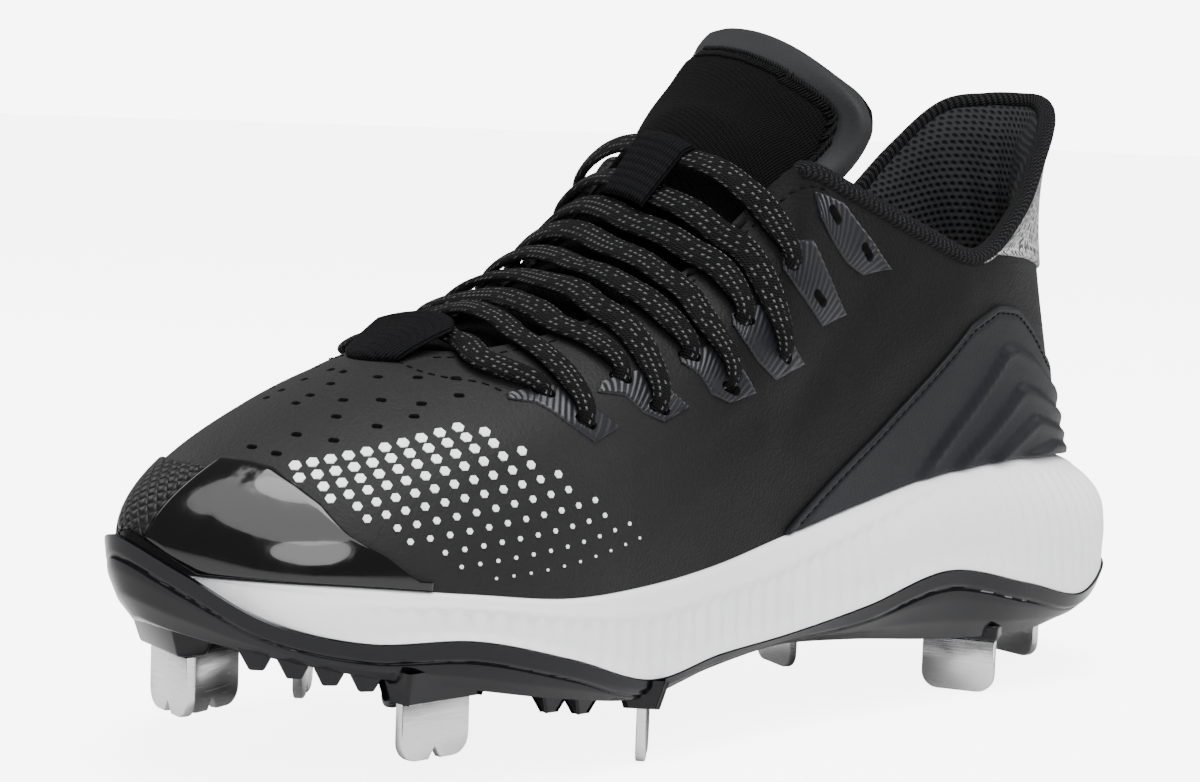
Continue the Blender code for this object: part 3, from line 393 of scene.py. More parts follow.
# the nodes of one material or of the world
class Graph:
    def __init__(self, tree, shader):
        self.tree, self.shader = tree, tree.nodes[shader]

    def node(self, kind, inputs=None, **settings):
        made = self.tree.nodes.new(kind)
        for key, value in settings.items():
            setattr(made, key, value)
        for key, value in (inputs or {}).items():
            if isinstance(value, bpy.types.NodeSocket):
                self.tree.links.new(value, made.inputs[key])
            else:
                made.inputs[key].default_value = value
        return made

    def join(self, value, socket):
        self.tree.links.new(value, self.shader.inputs[socket])

    def maths(self, operation, *values):
        return self.node("ShaderNodeMath", dict(enumerate(values)), operation=operation).outputs[0]

    def add(self, first, second):
        return self.maths("ADD", first, second)

    def less(self, first, second):
        return self.maths("SUBTRACT", first, second)

    def times(self, first, second):
        return self.maths("MULTIPLY", first, second)

    def over(self, first, second):
        return self.maths("DIVIDE", first, second)

    def floor(self, value):
        return self.maths("FLOOR", value)

    def fract(self, value):
        return self.maths("FRACT", value)

    def wave(self, value, factor):
        return self.maths("SINE", self.times(value, factor))

    def remap(self, value, low, high, toLow=0.0, toHigh=1.0):
        return self.node("ShaderNodeMapRange", {"Value": value, "From Min": low, "From Max": high,
                                                "To Min": toLow, "To Max": toHigh}).outputs[0]

    def split(self, vector):
        return list(self.node("ShaderNodeSeparateXYZ", {0: vector}).outputs)

    def dice(self, *cell):  # one random value for each cell
        vector = self.node("ShaderNodeCombineXYZ", dict(enumerate(cell))).outputs[0]
        return self.node("ShaderNodeTexWhiteNoise", {0: vector}, noise_dimensions="3D").outputs["Value"]

    def noise(self, vector, scale, detail):
        made = self.node("ShaderNodeTexNoise", {"Vector": vector, "Scale": scale, "Detail": detail})
        return made.outputs["Fac"]

    def blend(self, amount, first, second):
        inputs = {"Factor": amount}
        for index, color in ((6, first), (7, second)):
            inputs[index] = color if isinstance(color, bpy.types.NodeSocket) else (*color, 1.0)
        return self.node("ShaderNodeMix", inputs, data_type="RGBA").outputs[2]

    def bump(self, height, distance, strength=1.0):
        made = self.node("ShaderNodeBump", {"Height": height, "Strength": strength, "Distance": distance})
        self.join(made.outputs[0], "Normal")

    def objectSpace(self, scale=(1.0, 1.0, 1.0)):
        coords = self.node("ShaderNodeTexCoord").outputs["Object"]
        return self.node("ShaderNodeMapping", {"Vector": coords, "Scale": scale}).outputs[0]

    def wrapSpace(self):  # along and across the piece's own surface, in millimetres
        uv = self.node("ShaderNodeUVMap", uv_map="wrap").outputs[0]
        return self.node("ShaderNodeVectorMath", {0: uv, "Scale": 1000.0}, operation="SCALE").outputs[0]

    def cameraRay(self):
        return self.node("ShaderNodeLightPath").outputs["Is Camera Ray"]


def newMaterial(name, base, roughness, **sockets):
    made = bpy.data.materials.new(name)
    made.use_nodes = True
    made.diffuse_color = (*base, 1.0)
    graph = Graph(made.node_tree, "Principled BSDF")
    graph.material = made
    for label, value in {"Base_Color": (*base, 1.0), "Roughness": roughness, **sockets}.items():
        graph.shader.inputs[label.replace("_", " ")].default_value = value
    return graph


def leatherMaterial(name, look):
    g = newMaterial(name, look["base"], look["roughness"], Specular_IOR_Level=look["specular"])
    space = g.objectSpace()
    cells = g.node("ShaderNodeTexVoronoi", {"Vector": space, "Scale": look["grain"]}, feature="F1")
    fine, cloud = g.noise(space, look["grain"] * 2.2, 4.0), g.noise(space, 28.0, 3.0)
    g.bump(g.add(cells.outputs["Distance"], g.times(fine, 0.8)), look["depth"], 0.9)
    shade = g.add(g.times(cloud, 0.6), g.times(fine, 0.4))
    color = g.blend(g.remap(shade, 0.3, 0.7), look["base"], look["worn"])
    if "vamp" in look:  # painted highlight: the toe end, facing up to the light, is painted a lighter, matte charcoal
        color = g.blend(g.remap(g.split(space)[0], 0.005, 0.055), color, look["vamp"])
    g.join(color, "Base Color")
    g.join(g.remap(shade, 0.3, 0.7, look["roughness"] - 0.06, look["roughness"] + 0.07), "Roughness")
    return g.material


def glossMaterial(name, look):
    g = newMaterial(name, look["base"], look["roughness"], Coat_Weight=look["coat"],
                    Coat_Roughness=look["coatRoughness"], Specular_IOR_Level=look["specular"])
    space = g.objectSpace()
    g.bump(g.noise(space, look["wave"], 2.0), look["depth"], 0.6)
    smudge = g.remap(g.noise(space, 90.0, 4.0), 0.35, 0.75, look["roughness"], look["roughness"] + 0.12)
    g.join(smudge, "Roughness")
    return g.material


def clothMaterial(name, look):  # a twill or rib; its colour follows the bump: painted shade in the grooves and lighter rib tops, plus a slow random tone
    g = newMaterial(name, look["base"], 0.85, Specular_IOR_Level=0.08)
    space = g.wrapSpace()
    turned = g.node("ShaderNodeMapping", {"Vector": space, "Rotation": (0, 0, look["turn"])}).outputs[0]
    x, y, _ = g.split(turned)
    ribs = g.add(g.wave(x, 2 * math.pi / look["rib"]), 1.0)
    total = g.add(g.times(ribs, g.add(g.wave(y, 2 * math.pi / look["cross"]), 1.6)), g.noise(space, 3.0, 3.0))
    g.bump(total, look["depth"], 0.9)
    # painted shade: the rib grooves are darkened and the rib tops painted lighter, following the bump's
    # height
    g.join(g.blend(g.remap(total, 0.6, 4.5), look["base"], look["light"]), "Base Color")
    return g.material


def knitMaterial(name, look):  # rows of V stitches in two yarns
    g = newMaterial(name, look["light"], 0.9, Sheen_Weight=0.2)
    space = g.wrapSpace()
    x, y, _ = g.split(space)
    across = g.add(g.over(x, look["stitchWidth"]), g.times(g.noise(space, 0.6, 2.0), 0.5))
    lean = g.maths("ABSOLUTE", g.less(g.fract(across), 0.5))
    up = g.add(g.over(y, look["stitchHeight"]), g.times(lean, 1.5))
    legs = g.times(across, 2.0)
    pick = g.dice(g.floor(legs), g.floor(up), g.floor(across))
    groove = g.wave(g.fract(legs), math.pi)
    height = g.times(g.wave(g.fract(up), math.pi), g.maths("POWER", groove, 0.5))
    isLight = g.remap(pick, look["darkShare"] - 0.04, look["darkShare"] + 0.04)
    yarn = g.blend(isLight, look["dark"], look["light"])
    # painted shade: the grooves between stitches are darkened towards the pit colour; the two yarn colours
    # are real
    g.join(g.blend(g.remap(height, 0.0, 0.55), look["pit"], yarn), "Base Color")
    g.bump(height, look["depth"])
    return g.material


def meshMaterial(name, look):  # spacer mesh: rounded cells, with painted shade darkening the pits between them
    g = newMaterial(name, look["base"], 0.8, Specular_IOR_Level=0.08)
    x, y, _ = g.split(g.wrapSpace())
    x, y = g.over(x, look["cell"]), g.over(y, look["cell"] * 0.87)
    dx = g.less(g.fract(g.add(x, g.times(g.floor(y), 0.5))), 0.5)
    dy = g.less(g.fract(y), 0.5)
    height = g.remap(g.maths("SQRT", g.add(g.times(dx, dx), g.times(dy, dy))), 0.12, 0.42)
    # painted shade: the pits between the cells are darkened towards the pit colour
    g.join(g.blend(height, look["pit"], look["base"]), "Base Color")
    g.bump(height, look["depth"])
    return g.material


def braidMaterial(name, look):  # diagonal plaits with light flecks in rows
    g = newMaterial(name, look["base"], 0.8, Specular_IOR_Level=0.10)
    along, around, _ = g.split(g.wrapSpace())
    plaits = [g.wave(g.over(lean(along, around), look["plait"]), 2 * math.pi) for lean in (g.add, g.less)]
    lane = g.over(around, look["lane"])
    dash = g.add(g.over(along, look["dash"]), g.times(g.floor(lane), 0.37))
    pick = g.dice(g.floor(dash), g.floor(lane))
    fleck = g.times(g.remap(g.wave(g.fract(lane), math.pi), 0.86, 0.97),
                    g.remap(g.wave(g.fract(dash), math.pi), 0.60, 0.85))
    fleck = g.times(fleck, g.remap(pick, 0.25, 0.45, 0.0, 0.9))
    g.join(g.blend(fleck, look["base"], look["fleck"]), "Base Color")
    g.bump(g.times(*plaits), look["depth"])
    return g.material


def scaleMaterial(name, look):  # moulded diamond scales
    g = newMaterial(name, look["base"], look["roughness"], Specular_IOR_Level=0.2)
    x, y, _ = g.split(g.wrapSpace())
    sides = [g.maths("ABSOLUTE", g.wave(g.over(lean(x, y), look["scale"]), math.pi))
             for lean in (g.add, g.less)]
    height = g.maths("POWER", g.times(*sides), 0.5)
    grain = g.times(g.noise(g.objectSpace(), 900.0, 3.0), 0.25)
    g.bump(g.add(height, grain), look["depth"])
    # painted shade: the grooves between the scales are darkened towards the pit colour
    g.join(g.blend(height, look["pit"], look["base"]), "Base Color")
    return g.material


def foamMaterial(name, look):
    g = newMaterial(name, look["base"], look["roughness"])
    space = g.objectSpace()
    g.bump(g.noise(space, 700.0, 4.0), look["depth"], 0.7)
    dirt = g.remap(g.noise(space, 24.0, 4.0), 0.45, 0.8, 0.0, 0.5)
    g.join(g.blend(dirt, look["base"], look["shade"]), "Base Color")
    return g.material


def steelMaterial(name, look):
    g = newMaterial(name, look["base"], look["roughness"], Metallic=1.0)
    brushed = g.noise(g.objectSpace((160.0, 160.0, 2600.0)), 1.0, 3.0)
    g.join(g.remap(brushed, 0.3, 0.7, look["roughness"] - 0.06, look["roughness"] + 0.10), "Roughness")
    g.bump(brushed, look["depth"], 0.5)
    return g.material


# the vamp colour is a painted highlight: the toe end is painted lighter where light from above falls on it
leather = leatherMaterial("blackSynthetic", {
    "base": (0.0024, 0.0024, 0.0026), "worn": (0.0042, 0.0042, 0.0045), "roughness": 0.52, "specular": 0.10,
    "grain": 1250.0, "depth": 0.00010, "vamp": (0.0150, 0.0150, 0.0155)})
slate = leatherMaterial("slateCounter", {
    "base": (0.0062, 0.0067, 0.0084), "worn": (0.0095, 0.0102, 0.0125), "roughness": 0.50, "specular": 0.13,
    "grain": 1500.0, "depth": 0.00005})
patent = glossMaterial("patentGuard", {
    "base": (0.0015, 0.0015, 0.0017), "roughness": 0.06, "specular": 0.24, "coat": 0.45,
    "coatRoughness": 0.03, "wave": 130.0, "depth": 0.00022})
plateGloss = glossMaterial("plateGloss", {
    "base": (0.0030, 0.0030, 0.0042), "roughness": 0.13, "specular": 0.14, "coat": 0.18,
    "coatRoughness": 0.06, "wave": 60.0, "depth": 0.00012})
patchFilm = glossMaterial("patchFilm", {
    "base": (0.0085, 0.0085, 0.0118), "roughness": 0.30, "specular": 0.25, "coat": 0.05,
    "coatRoughness": 0.2, "wave": 300.0, "depth": 0.00005})
scaleSkin = scaleMaterial("toeScales", {
    "base": (0.0065, 0.0065, 0.007), "pit": (0.002, 0.002, 0.0022), "roughness": 0.42, "scale": 3.0,
    "depth": 0.0005})
foamWhite = foamMaterial("whiteFoam", {
    "base": (0.88, 0.883, 0.905), "shade": (0.76, 0.765, 0.80), "roughness": 0.5, "depth": 0.00005})
melange = knitMaterial("melangeKnit", {
    "light": (0.72, 0.72, 0.73), "dark": (0.02, 0.02, 0.022), "pit": (0.01, 0.01, 0.01), "darkShare": 0.36,
    "stitchWidth": 1.9, "stitchHeight": 0.95, "depth": 0.0005})
liningMesh = meshMaterial("liningMesh", {
    "base": (0.0200, 0.0205, 0.0220), "pit": (0.0045, 0.0045, 0.0050), "cell": 2.1, "depth": 0.0005})
tongueCloth = clothMaterial("tongueCloth", {
    "base": (0.0012, 0.0011, 0.0012), "light": (0.0040, 0.0037, 0.0040), "rib": 0.7, "cross": 1.2,
    "turn": 0.15, "depth": 0.00020})
bandSkin = leatherMaterial("tongueBand", {
    "base": (0.0120, 0.0125, 0.0138), "worn": (0.018, 0.0187, 0.0205), "roughness": 0.62, "specular": 0.15,
    "grain": 1500.0, "depth": 0.00005})
bindingKnit = clothMaterial("bindingKnit", {
    "base": (0.0045, 0.0045, 0.0050), "light": (0.036, 0.0365, 0.039), "rib": 1.3, "cross": 0.9,
    "turn": 0.7, "depth": 0.00035})
braid = braidMaterial("lacesBraid", {
    "base": (0.0050, 0.0050, 0.0053), "fleck": (0.15, 0.15, 0.155), "plait": 1.5, "lane": 1.55, "dash": 1.5,
    "depth": 0.00030})
webbing = clothMaterial("loopWebbing", {
    "base": (0.002, 0.002, 0.0024), "light": (0.0085, 0.0085, 0.0105), "rib": 1.0, "cross": 2.2,
    "turn": 0.0, "depth": 0.0003})
threadBlack = newMaterial("blackThread", (0.0035, 0.0035, 0.0038), 0.7, Specular_IOR_Level=0.08).material
# painted shade: a near-black, matte material for the walls of the holes, standing for the shade inside them
holeShade = newMaterial("holePaintedShade", (0.002, 0.002, 0.002), 0.95).material
pearlFilm = leatherMaterial("pearlFilm", {
    "base": (0.80, 0.82, 0.85), "worn": (0.90, 0.91, 0.92), "roughness": 0.32, "specular": 0.6,
    "grain": 900.0, "depth": 0.00003})
steel = steelMaterial("studSteel", {"base": (0.60, 0.60, 0.61), "roughness": 0.20, "depth": 0.000012})
print("materials ready")

# camera, light and floor
cameraLook = {
    "azimuth": 41.383, "elevation": 6.917, "roll": 2.189, "distance": 0.6708, "focalPixels": 2846.0,
    "target": (0.00495, -0.001545, 0.060), "frame": (1200, 782), "centre": (637.0, 458.0),
}


def buildCamera(look):
    azimuth, elevation, roll = (math.radians(look[key]) for key in ("azimuth", "elevation", "roll"))
    back = Vector((math.sin(azimuth) * math.cos(elevation), math.cos(azimuth) * math.cos(elevation),
                   math.sin(elevation)))
    right = (-back).cross(Vector((0, 0, 1))).normalized()
    up = right.cross(-back)
    rolledRight = right * math.cos(roll) + up * math.sin(roll)
    rolledUp = up * math.cos(roll) - right * math.sin(roll)
    data = bpy.data.cameras.new("photoCamera")
    camera = addObject("photoCamera", data)
    turned = Matrix((rolledRight, rolledUp, back)).transposed().to_4x4()
    camera.matrix_world = Matrix.Translation(Vector(look["target"]) + back * look["distance"]) @ turned
    wide, tall = look["frame"]
    data.sensor_fit = "HORIZONTAL"
    data.sensor_width = 36.0
    data.lens = look["focalPixels"] / wide * 36.0
    data.shift_x = (wide / 2 - look["centre"][0]) / wide
    data.shift_y = (look["centre"][1] - tall / 2) / wide
    data.clip_start, data.clip_end = 0.02, 20.0
    bpy.context.scene.camera = camera


lightTable = (
    # name, place, aimed at, size, watts
    ("keyAbove", (0.10, 0.25, 1.40), (0.0, 0.0, 0.05), 1.0, 22.0),
    ("frontSoft", (0.95, 1.15, 0.70), (0.05, 0.0, 0.05), 0.7, 9.0),
    ("rimHeel", (-1.1, 0.55, 0.60), (-0.08, 0.0, 0.07), 0.5, 5.0),
    ("farSide", (0.3, -1.2, 0.9), (0.0, 0.0, 0.07), 0.8, 6.0),
)
sunLook = {"from": (0.30, 0.45, 1.0), "strength": 2.6, "angle": 55.0}
backdrop = {"ambient": 0.30, "seen": 7.5, "floorGlow": 5.6, "floorSize": 14.0}


def buildStage():
    bm = bmesh.new()
    bmesh.ops.create_grid(bm, x_segments=1, y_segments=1, size=backdrop["floorSize"])
    pale = newMaterial("paleFloor", (0.88, 0.88, 0.88), 0.9, Emission_Color=(1.0, 1.0, 1.0, 1.0))
    pale.join(pale.times(pale.cameraRay(), backdrop["floorGlow"]), "Emission Strength")
    floor = meshObject("floor", bm, [pale.material])
    world = bpy.data.worlds.new("studio")
    world.use_nodes = True
    sky = Graph(world.node_tree, "Background")
    sky.shader.inputs["Color"].default_value = (1.0, 1.0, 1.0, 1.0)
    sky.join(sky.remap(sky.cameraRay(), 0.0, 1.0, backdrop["ambient"], backdrop["seen"]), "Strength")
    bpy.context.scene.world = world
    for name, place, aim, size, watts in lightTable:
        data = bpy.data.lights.new(name, "AREA")
        data.shape, data.size, data.energy = "DISK", size, watts
        light = addObject(name, data)
        light.location = place
        light.rotation_euler = (Vector(aim) - Vector(place)).to_track_quat("-Z", "Y").to_euler()
    data = bpy.data.lights.new("softSun", "SUN")
    data.energy, data.angle = sunLook["strength"], math.radians(sunLook["angle"])
    sun = addObject("softSun", data)
    sun.rotation_euler = (-Vector(sunLook["from"])).to_track_quat("-Z", "Y").to_euler()


buildCamera(cameraLook)
buildStage()
print("camera and stage ready")

# upper: one hollow wall
def buildUpper():
    look = upperLook
    places = np.linspace(0.0, turn, look["columns"] + 1)
    shares = np.linspace(0.0, 1.0, look["rows"] + 1)
    placeGrid, shareGrid = np.meshgrid(places, shares)
    outer = upperOffset(placeGrid, shareGrid, creaseLift(placeGrid, shareGrid))
    innerPlaces, innerShares = np.meshgrid(places, np.linspace(1.0, 0.0, look["innerRows"] + 1))
    inner = upperOffset(innerPlaces, innerShares, np.full(innerPlaces.shape, -shoe["wall"]))
    inner[-1, :, 2] = outer[0, :, 2]
    rim = upperOffset(places, 1.0, np.full(places.shape, -shoe["wall"] / 2))
    rim[:, 2] += 0.0004
    points = np.concatenate([outer, rim[None], inner, outer[:1]])
    bm = gridMesh(points, materialAt=lambda row, column: row > look["rows"])
    addPiece("upper_skin", outward(bm), [leather, liningMesh], ["upper"])


buildUpper()
print("upper ready")

# toe guard, toe tip, heel counter, knit and strip on the upper
guardLook = {
    "places": (11.4, 11.9, 12.4, 12.9, 13.4, 13.9, 14.3, 14.62), "thickness": 0.0011,
    "top": (0.0002, 0.0062, 0.0100, 0.0150, 0.0185, 0.0215, 0.0222, 0.0222),  # height over the foam
}
tipLook = {
    "places": (14.60, 15.0, 15.5, 16.0, 16.5, 17.0, 17.5, 18.0), "thickness": 0.0009,
    "top": (0.0205, 0.0205, 0.0203, 0.0196, 0.0184, 0.0160, 0.0115, 0.0052),
}


def footHeight(place):
    values = soleAt(place)
    return np.maximum(shoe["gap"], values["parting"] - values["top"] + 0.0004)


def buildToePiece(name, look, finish, nodes):
    width = 0.06
    across = edgeLines(64, width)
    places = look["places"][0] + across * (look["places"][-1] - look["places"][0])
    foot = footHeight(places)
    top = np.maximum(np.interp(places, look["places"], look["top"]), foot + 0.0016)
    up = edgeLines(26, 0.018)
    heights = foot + up[:, None] * (top - foot)
    placeGrid = np.broadcast_to(places, heights.shape)
    shareGrid = shareAtHeight(placeGrid, heights)
    rise = roundedRise(up, 0.018, across, width)
    addPiece(name, laidBm(placeGrid, shareGrid, rise, look["thickness"]), finish, nodes)


buildToePiece("toe_guard_skin", guardLook, patent, ["toe_guard"])
buildToePiece("toe_tip_skin", tipLook, scaleSkin, ["toe_tip"])

counterLook = {
    # top edge in millimetres over the foam, at each half place from the heel
    "top": (21.2, 21.0, 20.8, 21.2, 21.6, 22.8, 26.4, 33.0, 38.2, 40.0, 37.2, 26.8, 16.8, 8.8, 0.8),
    # rib lines: height share of the top edge, place where it turns down, place where it meets the foam
    "ribs": ((0.74, 4.25, 5.3), (0.50, 3.9, 4.85), (0.30, 3.6, 4.4), (0.14, 3.1, 3.9)),
    "rim": 0.0010, "step": 0.0009, "soft": 0.0009,
}


# a table in millimetres over the foam, at each half place from the heel
def tableHeight(place, table):
    return np.interp(np.abs(place), np.arange(len(table)) / 2, np.array(table) / 1000)


def counterTop(place):
    return tableHeight(place, counterLook["top"])


def buildCounter():
    across = edgeLines(200, 0.20)
    places = -7.0 + 14.0 * across
    up = edgeLines(60, 0.038)
    top = np.maximum(counterTop(places), 0.0012)
    heights = shoe["gap"] + up[:, None] * (top - shoe["gap"])
    placeGrid = np.broadcast_to(places, heights.shape)
    thick = np.full(heights.shape, counterLook["rim"])
    away = np.abs(placeGrid)
    for share, turnPlace, footPlace in counterLook["ribs"]:
        left = np.clip(1.0 - np.maximum(away - turnPlace, 0.0) / (footPlace - turnPlace), 0.0, 1.0)
        line = share * counterTop(np.minimum(away, turnPlace)) * left ** 0.9
        under = smooth(counterLook["soft"], -counterLook["soft"], heights - line)
        swell = 1.0 + 0.5 * np.exp(-(((heights - line + 0.0016) / 0.0016) ** 2))
        thick += counterLook["step"] * under * swell * smooth(0.0, 0.2, left)
    seam = np.exp(-(((top - heights - 0.0022) / 0.0005) ** 2))
    thick -= 0.00035 * seam
    rise = roundedRise(up, 0.038, across, 0.20)
    shareGrid = shareAtHeight(placeGrid, heights)
    addPiece("heel_counter_skin", laidBm(placeGrid, shareGrid, rise, thick), slate,
             ["heel_counter"])


buildCounter()

knitLook = {"foot": (48.5, 48.5, 48.5, 48.3, 48.2, 48.3, 48.9, 49.5, 50.4, 52.0, 54.5), "top": 0.985,
            "thickness": 0.0009}


def buildKnit():
    across = edgeLines(120, 0.12)
    places = -5.0 + 10.0 * across
    low = np.minimum(shareAtHeight(places, tableHeight(places, knitLook["foot"])), knitLook["top"] - 0.03)
    up = edgeLines(30, 0.03)
    shares = low + up[:, None] * (knitLook["top"] - low)
    placeGrid = np.broadcast_to(places, shares.shape)
    rise = roundedRise(up, 0.03, across, 0.12)
    addPiece("heel_knit", laidBm(placeGrid, shares, rise, knitLook["thickness"]), melange,
             ["heel_knit_panel"])


buildKnit()


stripLook = {"width": 0.016, "foot": 0.0212, "top": 0.0500, "thickness": 0.0011, "fold": 0.0008}


def buildStrip():
    around = np.linalg.norm(upperPoint(0.5, 0.4) - upperPoint(-0.5, 0.4))
    across = edgeLines(16, stripLook["width"])
    places = (across - 0.5) * stripLook["width"] / around
    low, high = shareAtHeight(places, stripLook["foot"]), shareAtHeight(places, stripLook["top"])
    up = edgeLines(30, 0.028)
    shares = low + up[:, None] * (high - low)
    placeGrid = np.broadcast_to(places, shares.shape)
    rise = roundedRise(up, 0.028, across, stripLook["width"])
    fold = stripLook["fold"] * np.exp(-(((up - 0.90) / 0.07) ** 2))[:, None]
    addPiece("heel_strip_skin", laidBm(placeGrid, shares, rise, stripLook["thickness"] + fold), leather,
             ["heel_strip"])


buildStrip()
print("overlays ready")

# foam, plate and insole
def plateSections(values):
    wall, tuck = shoe["plateWall"], values["tuck"]
    rim, low = values["parting"], values["low"]
    drop = rim - low
    bandHeight = rim - 0.40 * drop
    kneeHeight = np.minimum(bandHeight + 0.5 * wall, values["top"] - 0.6 * wall)
    return {
        "floor": (-tuck - wall, low + shoe["plateThickness"]),
        "knee": (-0.12 * tuck - 1.3 * wall, kneeHeight),
        "rimInner": (-wall + 0 * rim, rim), "rimOuter": (0 * rim, rim), "band": (-0.12 * tuck, bandHeight),
        "shoulder": (-0.45 * tuck, rim - 0.72 * drop), "underside": (-tuck, low),
    }


def foamSections(values):
    plate = plateSections(values)
    gap, wall = shoe["gap"], shoe["plateWall"]
    top, ledge = values["top"], values["ledge"]
    seat = -ledge - shoe["wall"]
    hidden = np.clip(values["hidden"], 0.0, 1.0)
    behind = plate["knee"][0] - gap
    bottom = np.minimum(values["parting"] + gap, top - 0.2 * wall)
    height = top - bottom
    shelf = 0.8 * ledge

    def side(out, drop):
        return out + (np.minimum(out, behind) - out) * hidden, top - drop * height

    kneeHeight = np.minimum(plate["knee"][1] + gap, bottom - 0.1 * wall)
    return [
        (seat - 0.0040, top - 0.0015), (seat - 0.0015, top), (-shelf, top), side(-0.42 * shelf, 0.17),
        side(-0.10 * shelf, 0.38), side(0.0 * top, 0.65), side(-0.04 * shelf - 0.5 * gap, 1.0),
        (np.minimum(plate["rimInner"][0] - gap, behind * hidden), bottom), (behind, kneeHeight),
        (plate["floor"][0] - gap, plate["floor"][1] + gap),
    ]


# adds a first and last row drawn in to the middle line, so that the shell is closed
def closedOverMiddle(points):
    def drawnIn(row):
        count = len(row) - 1
        facing = row[(count - np.arange(count + 1)) % count]
        return (row + facing) / 2

    return np.concatenate([drawnIn(points[0])[None], points, drawnIn(points[-1])[None]])


midsoleLook = {"columns": 960, "steps": 8, "step": 0.0004, "flute": 0.0008, "pitch": 0.0052, "front": 12.5}


def buildMidsole():
    look = midsoleLook
    places = np.linspace(0.0, turn, look["columns"] + 1)
    sections = foamSections(soleAt(places))
    rows = np.array([outlinePoint(places, out, height) for out, height in sections])
    # smooth rows between the sections, but keep the crease at the plate's rim
    side = rows[:7]
    fine = splineRows(np.concatenate([side[:1], side, side[-1:] * 2 - side[-2:-1]]), look["steps"])
    # faint flutes over the lower part, from the ball back to the heel
    reach = lengthsAlong(fine[-1:], 1)[0]
    down = np.linspace(0.0, 1.0, len(fine))[:, None]
    side0 = np.where(places <= toePlace, places, turn - places)
    tall = smooth(7.5, 4.5, side0)[None, :]
    lean = (0.7 + 1.6 * tall) * np.where(places <= toePlace, 1.0, -1.0)[None, :]
    phase = (reach / look["pitch"])[None, :] + lean * down
    flute = 0.5 - 0.5 * np.cos(2 * np.pi * phase)
    border = 0.56 - 0.22 * tall + 0.05 * flute
    amount = smooth(0.0, 0.10, down - border) * smooth(1.0, 0.90, down)
    amount = amount * (smooth(look["front"], look["front"] - 1.5, side0) * smooth(0.2, 1.0, side0))[None, :]
    out = outlineNormal(places)[None]
    fine = fine - out * (amount * (look["step"] + look["flute"] * flute))[..., None]
    points = closedOverMiddle(np.concatenate([fine, rows[7:]]))
    addPiece("midsole_foam", outward(gridMesh(points)), foamWhite, ["midsole"], sharp=38)


buildMidsole()

plateLook = {"columns": 480, "steps": 14, "lineDown": 0.0042, "lineWidth": 0.0004, "lineDepth": 0.00045}


def buildPlateShell():
    places = np.linspace(0.0, turn, plateLook["columns"] + 1)
    parts = plateSections(soleAt(places))
    order = ("floor", "knee", "rimInner", "rimOuter", "band", "shoulder", "underside")
    rows = np.array([outlinePoint(places, *parts[key]) for key in order])
    steps = plateLook["steps"]
    shares = np.arange(steps)[:, None, None] / steps
    groove = [first * (1 - shares) + second * shares for first, second in zip(rows[3:], rows[4:])]
    groove = np.concatenate(groove + [rows[-1:]])
    for _ in range(3):  # eases the corners between the sections
        groove[1:-1] = (groove[:-2] + 2 * groove[1:-1] + groove[2:]) / 4
    down = lengthsAlong(groove, 0)
    out = outlineNormal(places)[None]
    line = np.exp(-(((down - plateLook["lineDown"]) / plateLook["lineWidth"]) ** 2))
    groove = groove - out * (plateLook["lineDepth"] * line)[..., None]
    return outward(gridMesh(closedOverMiddle(np.concatenate([rows[:3], groove]))))


addPiece("stud_plate_shell", buildPlateShell(), plateGloss, ["stud_plate"], sharp=45)

studTable = (
    # name, along, across, turn, lift, notched
    ("stud_heel_outer", 0.220, 0.51, 28.0, 0.0, False),
    ("stud_heel_inner", 0.274, -0.44, -16.0, 0.0, False),
    ("stud_heel_rear", 0.050, -0.02, -5.0, 0.0, False),
    ("stud_rear_outer", 0.612, 0.777, 136.0, 0.0, True),
    ("stud_rear_inner", 0.655, -0.62, -60.0, 0.0, True),
    ("stud_front_outer", 0.805, 0.77, 94.0, 0.60, True),
    ("stud_side_inner", 0.734, -0.742, -43.0, 0.34, True),
    ("stud_front_inner", 0.855, -0.42, -71.0, 0.66, True),
    ("stud_toe", 0.925, -0.06, -8.0, 1.12, True),
)
studLook = {"width": 0.0185, "thickness": 0.0022, "corner": 0.0042, "podMargin": 0.0022, "podEnd": 0.0008,
            "flare": 0.30, "bevel": 0.0009}


def plateLow(x):
    low, high = 0.0, float(toePlace)
    for _ in range(30):
        middle = (low + high) / 2
        if outlinePoint(middle, -soleAt(middle)["tuck"], 0.0)[0] < x:
            low = middle
        else:
            high = middle
    return float(soleAt(low)["low"])


# a block that widens upwards, with rounded edges
def blockAt(bm, centre, angle, foot, head, bottom, top, bevel):
    made = bmesh.ops.create_cube(bm, size=2.0)["verts"]
    for vert in made:
        half = head if vert.co.z > 0 else foot
        height = top if vert.co.z > 0 else bottom
        x, y = vert.co.x * half[0], vert.co.y * half[1]
        vert.co = (centre[0] + x * math.cos(angle) - y * math.sin(angle),
                   centre[1] + x * math.sin(angle) + y * math.cos(angle), height)
    edges = list({edge for vert in made for edge in vert.link_edges})
    bmesh.ops.bevel(bm, geom=edges, offset=bevel, segments=3, profile=0.5, affect="EDGES", material=-1)


def studCentre(along, across):
    return along * shoe["length"] + origin[0], across * shoe["ballWidth"] / 2 + origin[1]


